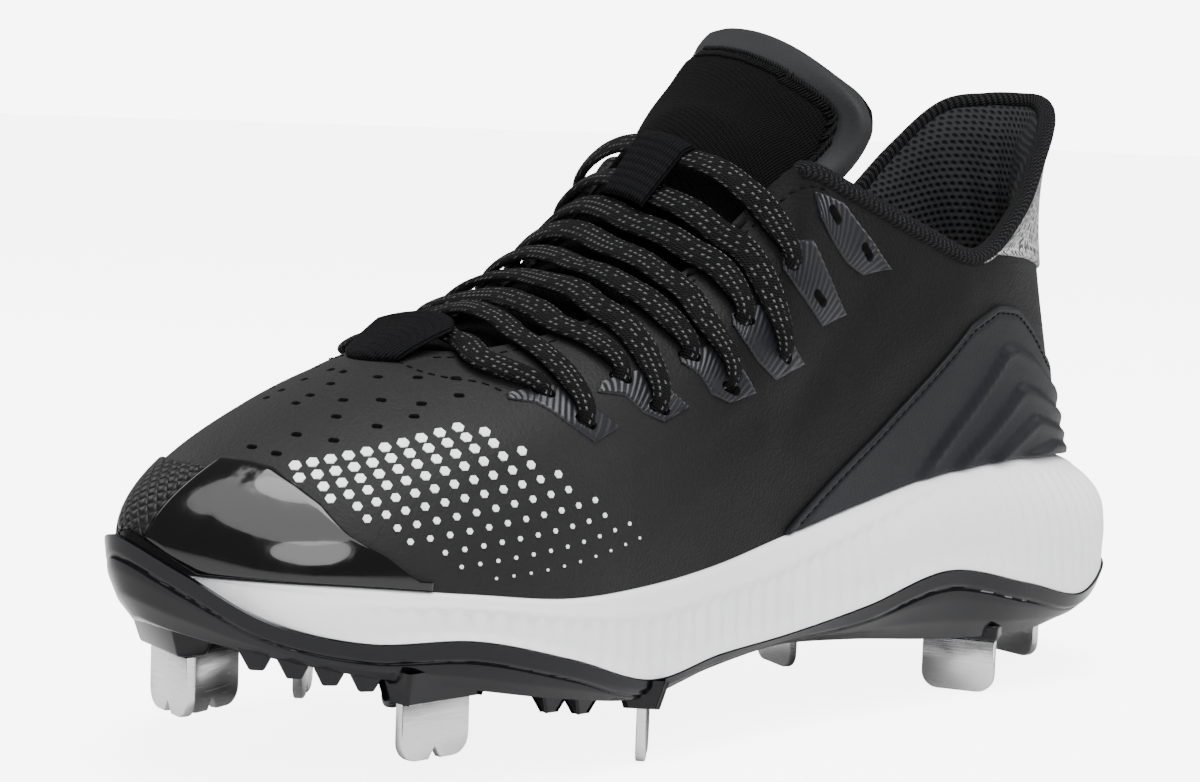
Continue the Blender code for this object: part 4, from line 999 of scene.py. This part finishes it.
def buildPodsAndStuds():
    pods = bmesh.new()
    for _, along, across, angle, lift, _ in studTable:
        centre = studCentre(along, across)
        bottom = shoe["studLength"] + lift * shoe["toeSpring"] + shoe["gap"]
        top = plateLow(centre[0]) + 0.0030
        foot = (studLook["thickness"] / 2 + studLook["podMargin"], studLook["width"] / 2 + studLook["podEnd"])
        flare = studLook["flare"] * (top - bottom)
        head = (foot[0] + flare, foot[1] + 0.5 * flare)
        blockAt(pods, centre, math.radians(angle), foot, head, bottom, top, studLook["bevel"])
    addPiece("plate_pods", outward(pods), plateGloss, sharp=50)
    for name, along, across, angle, lift, notched in studTable:
        half, corner = studLook["width"] / 2, studLook["corner"]
        bm = bmesh.new()
        outline = [(-half, shoe["studLength"])]
        for side in (-1, 1):
            first = 180.0 if side < 0 else 270.0
            for step in range(7):
                bend = math.radians(first + 15.0 * step)
                outline.append((side * (half - corner) + corner * math.cos(bend),
                                corner + corner * math.sin(bend)))
            if side < 0 and notched:
                cut = studLook["width"] * 0.09
                outline += [(-cut, 0.0), (0.0, cut * 1.5), (cut, 0.0)]
        outline.append((half, shoe["studLength"]))
        face = bm.faces.new([bm.verts.new((-studLook["thickness"] / 2, y, z)) for y, z in outline])
        grown = bmesh.ops.extrude_face_region(bm, geom=[face])["geom"]
        moved = [item for item in grown if isinstance(item, bmesh.types.BMVert)]
        bmesh.ops.translate(bm, verts=moved, vec=(studLook["thickness"], 0.0, 0.0))
        bmesh.ops.recalc_face_normals(bm, faces=bm.faces)
        rims = [edge for edge in bm.edges if abs(edge.verts[0].co.x - edge.verts[1].co.x) < 1e-6]
        bmesh.ops.bevel(bm, geom=rims, offset=0.0003, segments=2, profile=0.5, affect="EDGES", material=-1)
        place = (Matrix.Translation((*studCentre(along, across), lift * shoe["toeSpring"]))
                 @ Matrix.Rotation(math.radians(angle), 4, "Z"))
        bmesh.ops.transform(bm, matrix=place, verts=bm.verts)
        addPiece(name + "_plate", outward(bm), steel, [name], sharp=35)


buildPodsAndStuds()

lugLook = {
    "places": (9.6, 10.0, 11.95, 12.35, 12.75, 13.2, 17.6, 18.0, 18.4, 18.8, 19.2), "inset": 0.0075,
    "foot": (0.00096, 0.0015), "head": (0.00275, 0.00425), "height": 0.0056, "sunk": 0.0024, "bevel": 0.0004,
}


def buildLugs():
    bm = bmesh.new()
    for place in lugLook["places"]:
        centre = outlinePoint(place, -lugLook["inset"], 0.0)
        out = outlineNormal(place)
        top = plateLow(centre[0]) + lugLook["sunk"]
        blockAt(bm, centre, math.atan2(out[1], out[0]), lugLook["foot"], lugLook["head"],
                top - lugLook["height"], top, lugLook["bevel"])
    addPiece("plate_lugs", outward(bm), plateGloss, sharp=40)


buildLugs()


def buildInsole():
    places = np.linspace(0.0, turn, 241)
    values = soleAt(places)
    foam = foamSections(values)
    inset = foam[1][0] + 0.3 * shoe["wall"]
    rows = [outlinePoint(places, out, height) for out, height in (
        (foam[0][0] - shoe["gap"], foam[0][1] + shoe["gap"]), (inset, foam[1][1] + 0.0006),
        (inset, foam[0][1] + 0.0033), (inset - 0.0006, foam[0][1] + 0.0038))]
    addPiece("insole_board", outward(gridMesh(closedOverMiddle(np.array(rows)))), liningMesh,
             ["insole"], sharp=40)


buildInsole()
print("sole ready")

# holes: pits in the vamp and slots for the laces
pitSpots = (
    (15.2, 0.80), (14.9, 0.86), (14.3, 0.84), (13.6, 0.84), (15.2, 0.70), (14.8, 0.74),
    (14.3, 0.72), (13.7, 0.72), (13.1, 0.70), (14.2, 0.56), (14.0, 0.64), (13.3, 0.60),
    (13.0, 0.64), (14.5, 0.50), (13.6, 0.54), (14.1, 0.48), (12.7, 0.72), (13.0, 0.82),
)
# place, share, and turn of the slot's length from the foam's line
slotSpots = (
    (11.6, 0.66, 40.0), (10.7, 0.66, 40.0), (9.8, 0.66, 42.0), (9.0, 0.68, 42.0), (8.2, 0.78, 35.0),
    (10.8, 0.52, 35.0), (9.9, 0.52, 35.0), (8.8, 0.50, 38.0), (7.9, 0.54, 40.0), (7.4, 0.90, 35.0),
    (7.5, 0.68, 35.0), (6.8, 0.84, 35.0),
)
holeLook = {
    "pit": {"length": 0.0024, "width": 0.0016, "depth": 0.0012, "over": 0.003, "steps": 14, "turn": 10.0},
    "slot": {"length": 0.0054, "width": 0.0026, "depth": 0.0045, "over": 0.004, "steps": 18},
}


# a spot's point, and its axes along the foam's line, up the upper and outwards
def spotMatrix(place, share, angle):
    point = upperOffset(place, share, creaseLift(place, share))
    normal = upperNormal(place, share)
    towards = 1.0 if place <= toePlace else -1.0
    run = unit(upperPoint(place + 0.02, share) - upperPoint(place - 0.02, share)) * towards
    run = unit(run - normal * (run @ normal))
    side = np.cross(normal, run)
    if side[2] < 0:
        side = -side
    bend = math.radians(angle)
    first = run * math.cos(bend) + side * math.sin(bend)
    second = np.cross(normal, first)
    return Matrix.Translation(Vector(point)) @ Matrix(np.column_stack([first, second, normal])).to_4x4()


def bothSides(spots):
    return list(spots) + [(turn - spot[0], *spot[1:]) for spot in spots]


# an oblong plug that cuts a hole
def addPlug(bm, matrix, size):
    steps, width = size["steps"], size["width"]
    made = bmesh.ops.create_cone(bm, cap_ends=True, segments=steps, radius1=1.0, radius2=1.0,
                                 depth=1.0)["verts"]
    straight = (size["length"] - width) / 2
    for vert in made:
        bend = math.atan2(vert.co.y, vert.co.x) + math.pi / steps
        x, y = math.cos(bend) * width / 2, math.sin(bend) * width / 2
        x += math.copysign(straight, x)
        vert.co = matrix @ Vector((x, y, size["over"] if vert.co.z > 0 else -size["depth"]))


def plugObject():
    bm = bmesh.new()
    pit, slot = holeLook["pit"], holeLook["slot"]
    for place, share in bothSides(pitSpots):
        addPlug(bm, spotMatrix(place, share, pit["turn"]), pit)
    for place, share, angle in bothSides(slotSpots):
        addPlug(bm, spotMatrix(place, share, angle), slot)
    bmesh.ops.recalc_face_normals(bm, faces=bm.faces)
    return meshObject("plugs", bm, [holeShade])


def cutHoles(piece, plugs, sharp):
    cutter = piece.modifiers.new("holes", "BOOLEAN")
    cutter.object = plugs
    cutter.operation = "DIFFERENCE"
    cutter.solver = "EXACT"
    # the cut walls take the plugs' near-black material: painted shade inside the holes
    cutter.material_mode = "TRANSFER"
    bpy.context.view_layer.update()
    mesh = bpy.data.meshes.new_from_object(piece.evaluated_get(bpy.context.evaluated_depsgraph_get()))
    piece.modifiers.remove(cutter)
    old, piece.data = piece.data, mesh
    bpy.data.meshes.remove(old)
    mesh.shade_smooth()
    mesh.set_sharp_from_angle(angle=math.radians(sharp))


# eyelet patches: ribbed film laid on the eyestay
# the patch's two long sides, from the throat down to the outer eyelet
patchTable = (
    (((12.1, 0.69), (11.6, 0.70), (11.1, 0.61), (10.3, 0.49)),
     ((12, 0.66), (11.6, 0.62), (11, 0.52), (10.5, 0.45))),
    (((10.95, 0.66), (10.5, 0.68), (9.9, 0.58), (9.4, 0.49)),
     ((10.9, 0.62), (10.5, 0.59), (10.1, 0.52), (9.7, 0.47))),
    (((10, 0.68), (9.4, 0.66), (8.8, 0.56), (8.2, 0.46)),
     ((9.9, 0.65), (9.5, 0.58), (9.1, 0.50), (8.7, 0.46))),
    (((9.3, 0.72), (8.7, 0.70), (8, 0.60), (7.4, 0.51)),
     ((9.2, 0.68), (8.9, 0.62), (8.4, 0.54), (7.9, 0.48))),
    (((8.5, 0.82), (7.8, 0.82), (7.3, 0.73), (6.9, 0.65)),
     ((8.4, 0.76), (8, 0.70), (7.6, 0.65), (7.3, 0.61))),
    (((7.8, 0.94), (7.2, 0.95), (6.7, 0.88), (6.4, 0.82)),
     ((7.7, 0.88), (7.4, 0.83), (7.1, 0.79), (6.8, 0.77))),
)
patchLook = {"length": 0.026, "width": 0.009, "thickness": 0.00042, "rib": 0.00020, "pitch": 0.0017,
             "columns": 70, "rows": 22}


def buildPatches():
    made = []
    for number, (upperSide, lowerSide) in enumerate(patchTable, start=1):
        for mark, mirrored in (("outer", False), ("inner", True)):
            length, tall = patchLook["length"], patchLook["width"]
            across = edgeLines(patchLook["columns"], length)
            up = edgeLines(patchLook["rows"], tall)
            t = across * (len(upperSide) - 1)
            sides = []
            for line in (lowerSide, upperSide):
                spots = [np.interp(t, range(len(line)), values) for values in zip(*line)]
                sides.append(np.stack(spots, axis=-1))
            grid = sides[0][None] + (sides[1] - sides[0])[None] * up[:, None, None]
            places, shares = grid[..., 0], grid[..., 1]
            if mirrored:
                places = turn - places
            wave = (across * length)[None] + 0.35 * (up * tall)[:, None]
            ribs = np.abs(np.sin(np.pi * wave / patchLook["pitch"]))
            piece = laidBm(places, shares, roundedRise(up, tall, across, length),
                           patchLook["thickness"] + patchLook["rib"] * ribs, -0.0004)
            made.append(addPiece(f"eyelet_patch_{number}_{mark}", piece, patchFilm))
    return made


patches = buildPatches()
plugs = plugObject()
cutHoles(bpy.data.objects["upper_skin"], plugs, 40)
for patch in patches:
    cutHoles(patch, plugs, 50)
bpy.data.objects.remove(plugs, do_unlink=True)
print("patches and holes ready")

# tongue
tongueLook = {
    "thickness": 0.0065, "rise": 0.033, "width": 0.070, "gap": 0.0010, "foot": 0.89, "arch": 0.5,
    "corner": 0.011, "band": 0.0105, "rows": (8.5, 9.0, 9.5, 10.0, 10.5, 11.0, 11.5, 12.0, 12.5, 13.0),
    "toePlaces": (13.4, 13.8, 14.2, 14.6, 15.0), "thread": {"length": 0.0030, "width": 0.0006},
    # the free part: along, half and rise of the outer edge, along and rise of the middle, then the inner edge
    "free": (
        (0.390, 1.03, 0.41, 0.363, 0.906, 0.347, -0.92, 1.00),
        (0.387, 1.02, 0.12, 0.407, 0.61, 0.393, -0.92, 0.66),
        (0.407, 0.88, -0.14, 0.450, 0.31, 0.437, -0.83, 0.25),
    ),
}


def tongueGrid():
    look = tongueLook
    throat = ringAt(upperRing, 8.0)[2]
    rows = []
    for row in look["free"]:
        outer, middle, inner = (np.array((along * shoe["length"], half * look["width"] / 2,
                                          throat + rise * look["rise"])) + origin
                                for along, half, rise in (row[:3], (row[3], 0.0, row[4]), row[5:]))
        across = np.linspace(1.0, -1.0, 9)[:, None]
        rows.append(outer * across * (across + 1) / 2 + middle * (1 - across**2)
                    + inner * across * (across - 1) / 2)
    sunk = -shoe["wall"] - look["gap"]
    for place in look["rows"]:
        ends = [upperOffset(at, 1.0, sunk) for at in (place, turn - place)]
        feet = [upperOffset(at, look["foot"], sunk) for at in (place, turn - place)]
        middle = archOver(ends, feet, look["arch"], np.linspace(0.0, 1.0, 7)[:, None])
        rows.append(np.concatenate([feet[0][None], middle, feet[1][None]]))
    toes = np.array(look["toePlaces"])
    around = np.concatenate([toes, turn - toes[-2::-1]])
    for share in (1.0, look["foot"]):
        rows.append(upperOffset(around, share, sunk))
    dense = np.array(rows)
    for axis in (0, 1):
        work = np.moveaxis(dense, axis, 0)
        padded = np.concatenate([2 * work[:1] - work[1:2], work, 2 * work[-1:] - work[-2:-1]])
        dense = np.moveaxis(splineRows(padded, 6), 0, axis)
    kernel = np.hanning(15) / np.hanning(15).sum()
    for _ in range(3):  # eases the bend where the free part leaves the throat
        padded = np.concatenate([2 * dense[:1] - dense[7:0:-1], dense, 2 * dense[-1:] - dense[-2:-9:-1]])
        eased = np.stack([np.tensordot(kernel, padded[row:row + 15], axes=1) for row in range(len(dense))])
        weight = (smooth(0, 6, np.arange(len(dense))) * smooth(36, 26, np.arange(len(dense))))[:, None, None]
        dense = dense * (1 - weight) + eased * weight
    return dense


tonguePoints = tongueGrid()
tongueNormals = -unit(np.cross(np.gradient(tonguePoints, axis=1), np.gradient(tonguePoints, axis=0)))
if tongueNormals[5, tonguePoints.shape[1] // 2, 2] < 0:
    tongueNormals = -tongueNormals


# reads a grid of points between its rows and columns, both given as shares
def sampleAt(table, rows, columns):
    y = np.clip(rows, 0, 1) * (table.shape[0] - 1)
    x = np.clip(columns, 0, 1) * (table.shape[1] - 1)
    i = np.minimum(np.floor(y).astype(int), table.shape[0] - 2)
    j = np.minimum(np.floor(x).astype(int), table.shape[1] - 2)
    fy, fx = (y - i)[..., None], (x - j)[..., None]
    return ((table[i, j] * (1 - fx) + table[i, j + 1] * fx) * (1 - fy)
            + (table[i + 1, j] * (1 - fx) + table[i + 1, j + 1] * fx) * fy)


tongueReach = lengthsAlong(tonguePoints[:, tonguePoints.shape[1] // 2], 0)
tongueWidth = np.linalg.norm(np.diff(tonguePoints[6], axis=0), axis=-1).sum()


# rows and columns, as shares, of a spot down from the top edge and across from the outer edge, in metres
def tongueSpot(down, across):
    return np.interp(down, tongueReach, np.linspace(0, 1, len(tongueReach))), np.asarray(across) / tongueWidth


# draws the square corners of the top edge in to a round
def roundedCorners(down, across, width, radius):
    side = np.minimum(across, width - across)
    a, b = np.clip(1 - down / radius, 0, 1), np.clip(1 - side / radius, 0, 1)
    downNew = np.where(a * b > 0, radius * (1 - a * np.sqrt(1 - b * b / 2)), down)
    sideNew = np.where(a * b > 0, radius * (1 - b * np.sqrt(1 - a * a / 2)), side)
    return downNew, np.where(across < width / 2, sideNew, width - sideNew)


# how far inside the smooth top band a spot lies: over 0 is the ribbed face
def bandEdge(down, across):
    sideways = across + 0.0035
    return -0.0035 * np.log(np.exp(-down / 0.0035) + np.exp(-sideways / 0.0035)) - tongueLook["band"]


def buildTongue():
    look = tongueLook
    width, length, edge = tongueWidth, tongueReach[-1], 0.003
    lines = np.array([0, 0.00008, 0.0003, 0.0008, 0.0016, edge])
    down = np.concatenate([lines, np.linspace(edge, 0.055, 46)[1:], np.linspace(0.055, length - edge, 60)[1:],
                           length - lines[::-1][1:]])
    across = np.concatenate([lines, np.linspace(edge, width - edge, 70)[1:], width - lines[::-1][1:]])
    downGrid, acrossGrid = np.meshgrid(down, across, indexing="ij")
    side = np.minimum(np.minimum(acrossGrid, width - acrossGrid), np.minimum(downGrid, length - downGrid))
    roundness = np.sqrt(np.clip(1 - (1 - np.clip(side / edge, 0, 1)) ** 2, 0, 1))
    downNew, acrossNew = roundedCorners(downGrid, acrossGrid, width, look["corner"])
    rows, columns = tongueSpot(downNew, acrossNew)
    points, normals = sampleAt(tonguePoints, rows, columns), unit(sampleAt(tongueNormals, rows, columns))
    middle = 1.0 - np.abs(2.0 * columns - 1.0) ** 3
    thick = look["thickness"] * (0.4 + 0.6 * middle)
    inside = bandEdge(downNew, acrossNew)
    puff = 0.0011 * np.exp(-(((inside + 0.006) / 0.004) ** 2)) - 0.0009 * np.exp(-((inside / 0.0012) ** 2))
    wave = 0.0003 * np.sin(downNew * 420.0 + 3.0 * columns) * smooth(0.0, 0.01, inside)
    centre = points - normals * (thick / 2)[..., None]
    top = centre + normals * ((thick / 2 + (puff + wave) * smooth(0, 1, roundness)) * roundness)[..., None]
    under = centre - normals * (thick / 2 * roundness)[..., None]
    bm = gridMesh(np.concatenate([top, under[::-1]]), materialAt=lambda row, column: int(
        row < len(down) - 1 and inside[min(row + 1, len(down) - 1), column] < 0))
    piece = addPiece("tongue_pad", outward(bm), [tongueCloth, bandSkin], ["tongue"])
    # overlock stitching where the band meets the ribbed face
    bm = bmesh.new()
    threads = []
    grid = np.abs(bandEdge(downGrid, acrossGrid))
    for column in range(2, len(across) - 9):
        line = np.argmin(grid[:80, column])
        if grid[line, column] < 0.002:
            threads.append((down[line], across[column]))
    for line in range(10, 46):
        column = np.argmin(grid[line, :30])
        if grid[line, column] < 0.001:
            threads.append((down[line], across[column]))
    for y, x in threads:
        for step in range(2):
            dy, dx = random.uniform(-0.0002, 0.0002) + 0.0022 * (step - 0.4), 0.0005 * step
            here = tongueSpot(y + dy, x + dx)
            point = sampleAt(tonguePoints, *here)
            lean = 0.0004 if step else -0.0004
            ahead = sampleAt(tonguePoints, *tongueSpot(y + dy + 0.001, x + dx + lean))
            normal = unit(sampleAt(tongueNormals, *here))
            stitchRun(bm, [point + normal * 0.0001], [unit(ahead - point)], [normal], look["thread"])
    addPiece("tongue_overlock", bm, threadBlack)


buildTongue()
print("tongue ready")

# collar padding and binding
collarLook = {"thickness": 0.0042, "ends": 7.5, "shares": (0.40, 0.48, 0.60, 0.76, 0.90, 0.985),
              "full": (0.0, 0.30, 0.85, 1.0, 0.80, 0.15), "bindingEnds": (-7.6, 8.15),
              "bindingRadius": 0.0023}


def buildPadding():
    places = np.linspace(-collarLook["ends"], collarLook["ends"], 240)
    shares = np.linspace(collarLook["shares"][0], collarLook["shares"][-1], 44)
    placeGrid, shareGrid = np.meshgrid(places, shares)
    full = np.interp(shareGrid, collarLook["shares"], collarLook["full"])
    full = full * np.maximum(smooth(0.0, 2.0, collarLook["ends"] - np.abs(placeGrid)), 0.12)
    waves = 0.0003 * np.sin(placeGrid * 5.0 + shareGrid * 6.0)
    top = upperOffset(placeGrid, shareGrid, -shoe["wall"] - (collarLook["thickness"] + waves) * full)
    under = upperOffset(placeGrid, shareGrid, np.full(placeGrid.shape, 0.0004 - shoe["wall"]))
    piece = addPiece("collar_lining", closedSheet(top, under), liningMesh, ["collar_padding"])


# a closed tube: section(share along) gives the ring's points as offsets along two axes
def sweptMesh(route, section):
    rings = np.array([centre + section(share) @ axes for share, centre, axes in route])
    first, last = (np.broadcast_to(ring.mean(axis=0), rings[:1].shape) for ring in (rings[0], rings[-1]))
    rings = np.concatenate([first, rings, last])
    rings = np.concatenate([rings, rings[:, :1]], axis=1)
    return outward(gridMesh(rings.transpose(1, 0, 2)))


def buildBinding():
    first, last = collarLook["bindingEnds"]
    places = np.linspace(first, last, 420)
    edge = upperOffset(places, 1.0, np.full(places.shape, -shoe["wall"] / 2))
    outwards = unit(upperNormal(places, np.ones(places.shape)))
    runs = unit(np.gradient(edge, axis=0))
    outwards = unit(outwards - runs * (outwards * runs).sum(axis=1, keepdims=True))
    ups = np.cross(outwards, runs)
    ups = np.where(ups[:, 2:3] < 0, -ups, ups)
    turnAt = np.linspace(0, 2 * np.pi, 17)[:-1]
    radius = collarLook["bindingRadius"]
    ring = np.stack([np.sign(np.cos(turnAt)) * np.abs(np.cos(turnAt)) ** 0.8 * radius,
                     np.sin(turnAt) * radius - 0.0006], axis=-1)
    route = [(step / 419, edge[step], np.array([outwards[step], ups[step]])) for step in range(420)]

    def taper(share):
        return ring * float(smooth(0.0, 0.012, share) * smooth(1.0, 0.988, share) * 0.7 + 0.3)

    addPiece("collar_cord", sweptMesh(route, taper), bindingKnit, ["collar_binding"])


buildPadding()
buildBinding()

# laces
# how far across and the ring's place there, from the little-toe side's eyelet to the big-toe side's
laceTable = (
    ((1.66, 11.6), (1.25, 12.85), (0.6, 13.6), (-0.6, 13.6), (-1.25, 12.85), (-1.66, 11.6)),
    ((1.94, 10.8), (1.35, 11.9), (0.95, 12.4), (0.25, 12.7), (-0.9, 12.4), (-1.35, 11.9), (-1.94, 10.8)),
    ((1.66, 10.7), (1.30, 11.35), (1.0, 11.8), (0.3, 12.2), (-0.9, 11.85), (-1.30, 11.35), (-1.66, 10.7)),
    ((1.94, 9.9), (1.40, 10.8), (1.0, 11.25), (0.2, 11.6), (-0.9, 11.3), (-1.40, 10.8), (-1.94, 9.9)),
    ((1.66, 9.8), (1.25, 10.5), (0.8, 10.9), (0.25, 11.15), (-0.9, 10.85), (-1.25, 10.5), (-1.66, 9.8)),
    ((1.96, 8.8), (1.50, 9.8), (1.0, 10.3), (0.3, 10.72), (-0.9, 10.4), (-1.50, 9.8), (-1.96, 8.8)),
    ((1.64, 9.0), (1.30, 9.5), (0.9, 9.9), (0.25, 10.3), (-0.9, 9.95), (-1.30, 9.5), (-1.64, 9.0)),
    ((1.92, 7.9), (1.45, 8.9), (1.0, 9.5), (0.3, 9.88), (-0.9, 9.55), (-1.45, 8.95), (-1.92, 7.9)),
    ((1.46, 8.2), (1.20, 8.65), (0.85, 9.05), (0.25, 9.45), (-0.9, 9.1), (-1.20, 8.65), (-1.46, 8.2)),
)
laceLook = {"width": 0.0064, "thickness": 0.0023, "gap": 0.0010, "steps": 120, "dive": 0.045, "depth": 0.0045,
            "reach": 0.07}


# values between a table's rows, without a corner at each row
def easedTable(spots, values):
    dense = np.interp(np.linspace(0, 1, 241), np.linspace(0, 1, len(spots)), range(len(spots)))
    across = np.interp(dense, range(len(spots)), [spot[0] for spot in spots])
    place = np.interp(dense, range(len(spots)), [spot[1] for spot in spots])
    kernel = np.hanning(41)
    kernel /= kernel.sum()
    padded = np.concatenate([2 * place[0] - place[20:0:-1], place, 2 * place[-1] - place[-2:-22:-1]])
    eased = np.convolve(padded, kernel, mode="valid")
    return np.interp(-values, -across, eased)


def buildLace(number, spots):
    look = laceLook
    steps = look["steps"]
    t = np.linspace(0, 1, steps + 1)
    first, last = spots[0][0] + look["reach"], spots[-1][0] - look["reach"]
    across = first + (last - first) * t
    places = easedTable(spots, across)
    lift = look["gap"] + look["thickness"] / 2
    deep = np.minimum(t, 1 - t) / look["dive"]
    lifts = -look["depth"] + (lift + look["depth"]) * np.sin(np.clip(deep, 0, 1) * np.pi / 2) ** 0.8
    slack = 0.0005 * np.sin(2 * np.pi * t * 2 + number) * smooth(0.1, 0.3, np.minimum(t, 1 - t) * 2)
    centre = laceBed(across, places, lifts + slack)
    kernel = np.hanning(13) / np.hanning(13).sum()
    for axis in range(3):  # eases the bed's bend at the throat's edge
        eased = np.convolve(centre[:, axis], kernel, mode="valid")
        weight = smooth(0.05, 0.09, np.minimum(t, 1 - t)[6:-6])
        centre[6:-6, axis] = centre[6:-6, axis] * (1 - weight) + eased * weight
    ups = unit(laceBed(across, places, lift + 0.002) - laceBed(across, places, lift))
    runs = unit(np.gradient(centre, axis=0))
    sides = unit(np.cross(runs, ups))
    tops = unit(np.cross(sides, runs))
    angles = np.linspace(0, 2 * np.pi, 21)[:-1]
    x, y = np.cos(angles), np.sin(angles)
    shape = np.stack([np.sign(x) * np.abs(x) ** 0.75 * look["width"] / 2,
                      np.sign(y) * np.abs(y) ** 0.85 * look["thickness"] / 2], axis=-1)
    route = [(t[step], centre[step], np.array([sides[step], tops[step]])) for step in range(steps + 1)]

    def section(share):
        squeeze = float(smooth(0.0, 0.13, min(share, 1 - share)))
        twist = 0.16 * math.sin(6.0 * share + 1.7 * number)
        wide = shape * np.array([0.60 + 0.40 * squeeze, 1.25 - 0.25 * squeeze])
        return wide @ np.array([[math.cos(twist), math.sin(twist)], [-math.sin(twist), math.cos(twist)]])

    addPiece(f"lace_bar_{number}", sweptMesh(route, section), braid, [f"lace_{number}"])


for laceNumber, laceSpots in enumerate(laceTable, start=1):
    buildLace(laceNumber, laceSpots)
print("laces ready")

# straps over the laces: the tongue's loop and the tab at the throat's foot
loopLook = {
    "across": (0.38, -0.08), "thickness": 0.0012,
    "rows": ((9.22, 0.6), (9.38, 1.9), (9.75, 2.1), (10.1, 1.9)),  # place, and height in lace thicknesses
}
tabLook = {"across": (0.97, -0.97), "place": 13.42, "lift": 0.0044, "foot": (14.25, 15.75), "footShare": 0.92,
           "crown": 0.0006, "thickness": 0.0010}


# 0 at a grid's borders, rising to 1 two rows in
def borderRise(rows, columns):
    away = [np.minimum(np.arange(count), count - 1 - np.arange(count)) for count in (rows, columns)]
    return np.clip(np.minimum.outer(*away) / 2.0, 0, 1) ** 0.5


def buildLoop(name, look):
    rows = look["rows"]
    shares = np.linspace(0, len(rows) - 1, 31)
    places, heights = (np.interp(shares, range(len(rows)), column) for column in zip(*rows))
    kernel = np.hanning(9) / np.hanning(9).sum()
    heights = np.convolve(np.pad(heights, 4, mode="edge"), kernel, mode="valid")
    placeGrid, acrossGrid = np.meshgrid(places, np.linspace(*look["across"], 41), indexing="ij")
    lift = 0.0012 + heights[:, None] * 0.0018 + 0 * placeGrid
    top = laceBed(acrossGrid, placeGrid, lift + look["thickness"] * borderRise(31, 41))
    addPiece(name, closedSheet(top, laceBed(acrossGrid, placeGrid, lift)), webbing)


# a flat strap from over the first lace down to the vamp
def buildTab(name, look):
    columns, rows = 49, 27
    head = laceBed(np.linspace(*look["across"], columns), look["place"], look["lift"])
    foot = upperOffset(np.linspace(*look["foot"], columns), look["footShare"], np.full(columns, 0.0003))
    crown = (head + foot) / 2 + np.array((0.0, 0.0, look["crown"]))
    t = np.linspace(0, 1, rows)[:, None, None]
    grid = head * (1 - t) ** 2 + crown * 2 * t * (1 - t) + foot * t**2
    normals = unit(np.cross(np.gradient(grid, axis=1), np.gradient(grid, axis=0)))
    if normals[rows // 2, columns // 2, 2] < 0:
        normals = -normals
    top = grid + normals * (look["thickness"] * borderRise(rows, columns))[..., None]
    addPiece(name, closedSheet(top, grid), webbing)


buildLoop("tongue_loop", loopLook)
buildTab("throat_tab", tabLook)

# printed field of small hexagons on the outer side
printLook = {
    # corners: top toe end, top heel end, bottom toe end, bottom heel end
    "corners": ((13.75, 0.43), (12.2, 0.57), (10.9, 0.05), (9.2, 0.16)), "across": 10, "along": 11,
    "size": 0.00145, "least": 0.25, "thickness": 0.00022,
}


def buildPrint():
    look = printLook
    topToe, topHeel, lowToe, lowHeel = (np.array(corner) for corner in look["corners"])
    bm = bmesh.new()
    for row in range(look["along"]):
        t = row / (look["along"] - 1)
        for column in range(look["across"] + row % 2):
            s = (column + (0.5 if row % 2 == 0 else 0.0)) / look["across"]
            spot = (topToe * (1 - s) + topHeel * s) * (1 - t) + (lowToe * (1 - s) + lowHeel * s) * t
            size = look["size"] * (1.0 - (1.0 - look["least"]) * t ** 1.3)
            made = bmesh.ops.create_cone(bm, cap_ends=True, segments=6, radius1=1.0, radius2=0.92,
                                         depth=1.0)["verts"]
            axes = spotMatrix(spot[0], spot[1], 30.0)
            for vert in made:
                rim = vert.co.copy()
                flat = axes @ Vector((rim.x * size, rim.y * size, 0.0))
                lift = look["thickness"] if rim.z > 0 else -0.0003
                vert.co = flat + axes.col[2].xyz * lift
    addPiece("printed_cells", outward(bm), pearlFilm, sharp=30)


buildPrint()

# stitching
stitchLook = {"length": 0.0021, "width": 0.00055, "step": 0.0029, "lift": 0.0001}
barLook = {"length": 0.0058, "width": 0.0016}
seamLook = {"ends": 6.8, "under": 0.0021, "lift": 0.0008, "step": 0.0026}  # the stitches on the counter
# each line's spots on the outer side; the inner side mirrors them
stitchLines = (
    ((14.9, 0.985), (14.3, 0.93), (12.6, 0.78), (12.25, 0.72)),
    ((7.6, 0.955), (8.6, 0.94), (10.0, 0.94), (12.0, 0.94), (13.6, 0.955)),
)
throatBars = ((12.9, 0.975), (12.15, 0.975), (11.4, 0.975), (10.65, 0.975), (9.9, 0.975), (9.2, 0.975))


def buildStitches():
    bm = bmesh.new()
    for line in stitchLines:
        for spots in (line, [(turn - place, share) for place, share in line]):
            stitchRun(bm, *pathOnUpper(spots, stitchLook["lift"], stitchLook["step"]), stitchLook)
    addPiece("upper_stitches", bm, threadBlack)
    bm = bmesh.new()
    for place, share in bothSides(throatBars):
        point = upperOffset(place, share, stitchLook["lift"])
        run = unit(upperPoint(place + 0.02, share) - upperPoint(place - 0.02, share))
        stitchRun(bm, [point], [run], [upperNormal(place, share)], barLook)
    addPiece("throat_bars", bm, webbing)
    bm = bmesh.new()
    places = np.linspace(-seamLook["ends"], seamLook["ends"], 90)
    spots = [(place, float(shareAtHeight(place, counterTop(place) - seamLook["under"]))) for place in places]
    stitchRun(bm, *pathOnUpper(spots, seamLook["lift"], seamLook["step"]), stitchLook)
    addPiece("counter_stitches", bm, threadBlack)


buildStitches()
bpy.context.view_layer.update()
print("stitches and print ready")
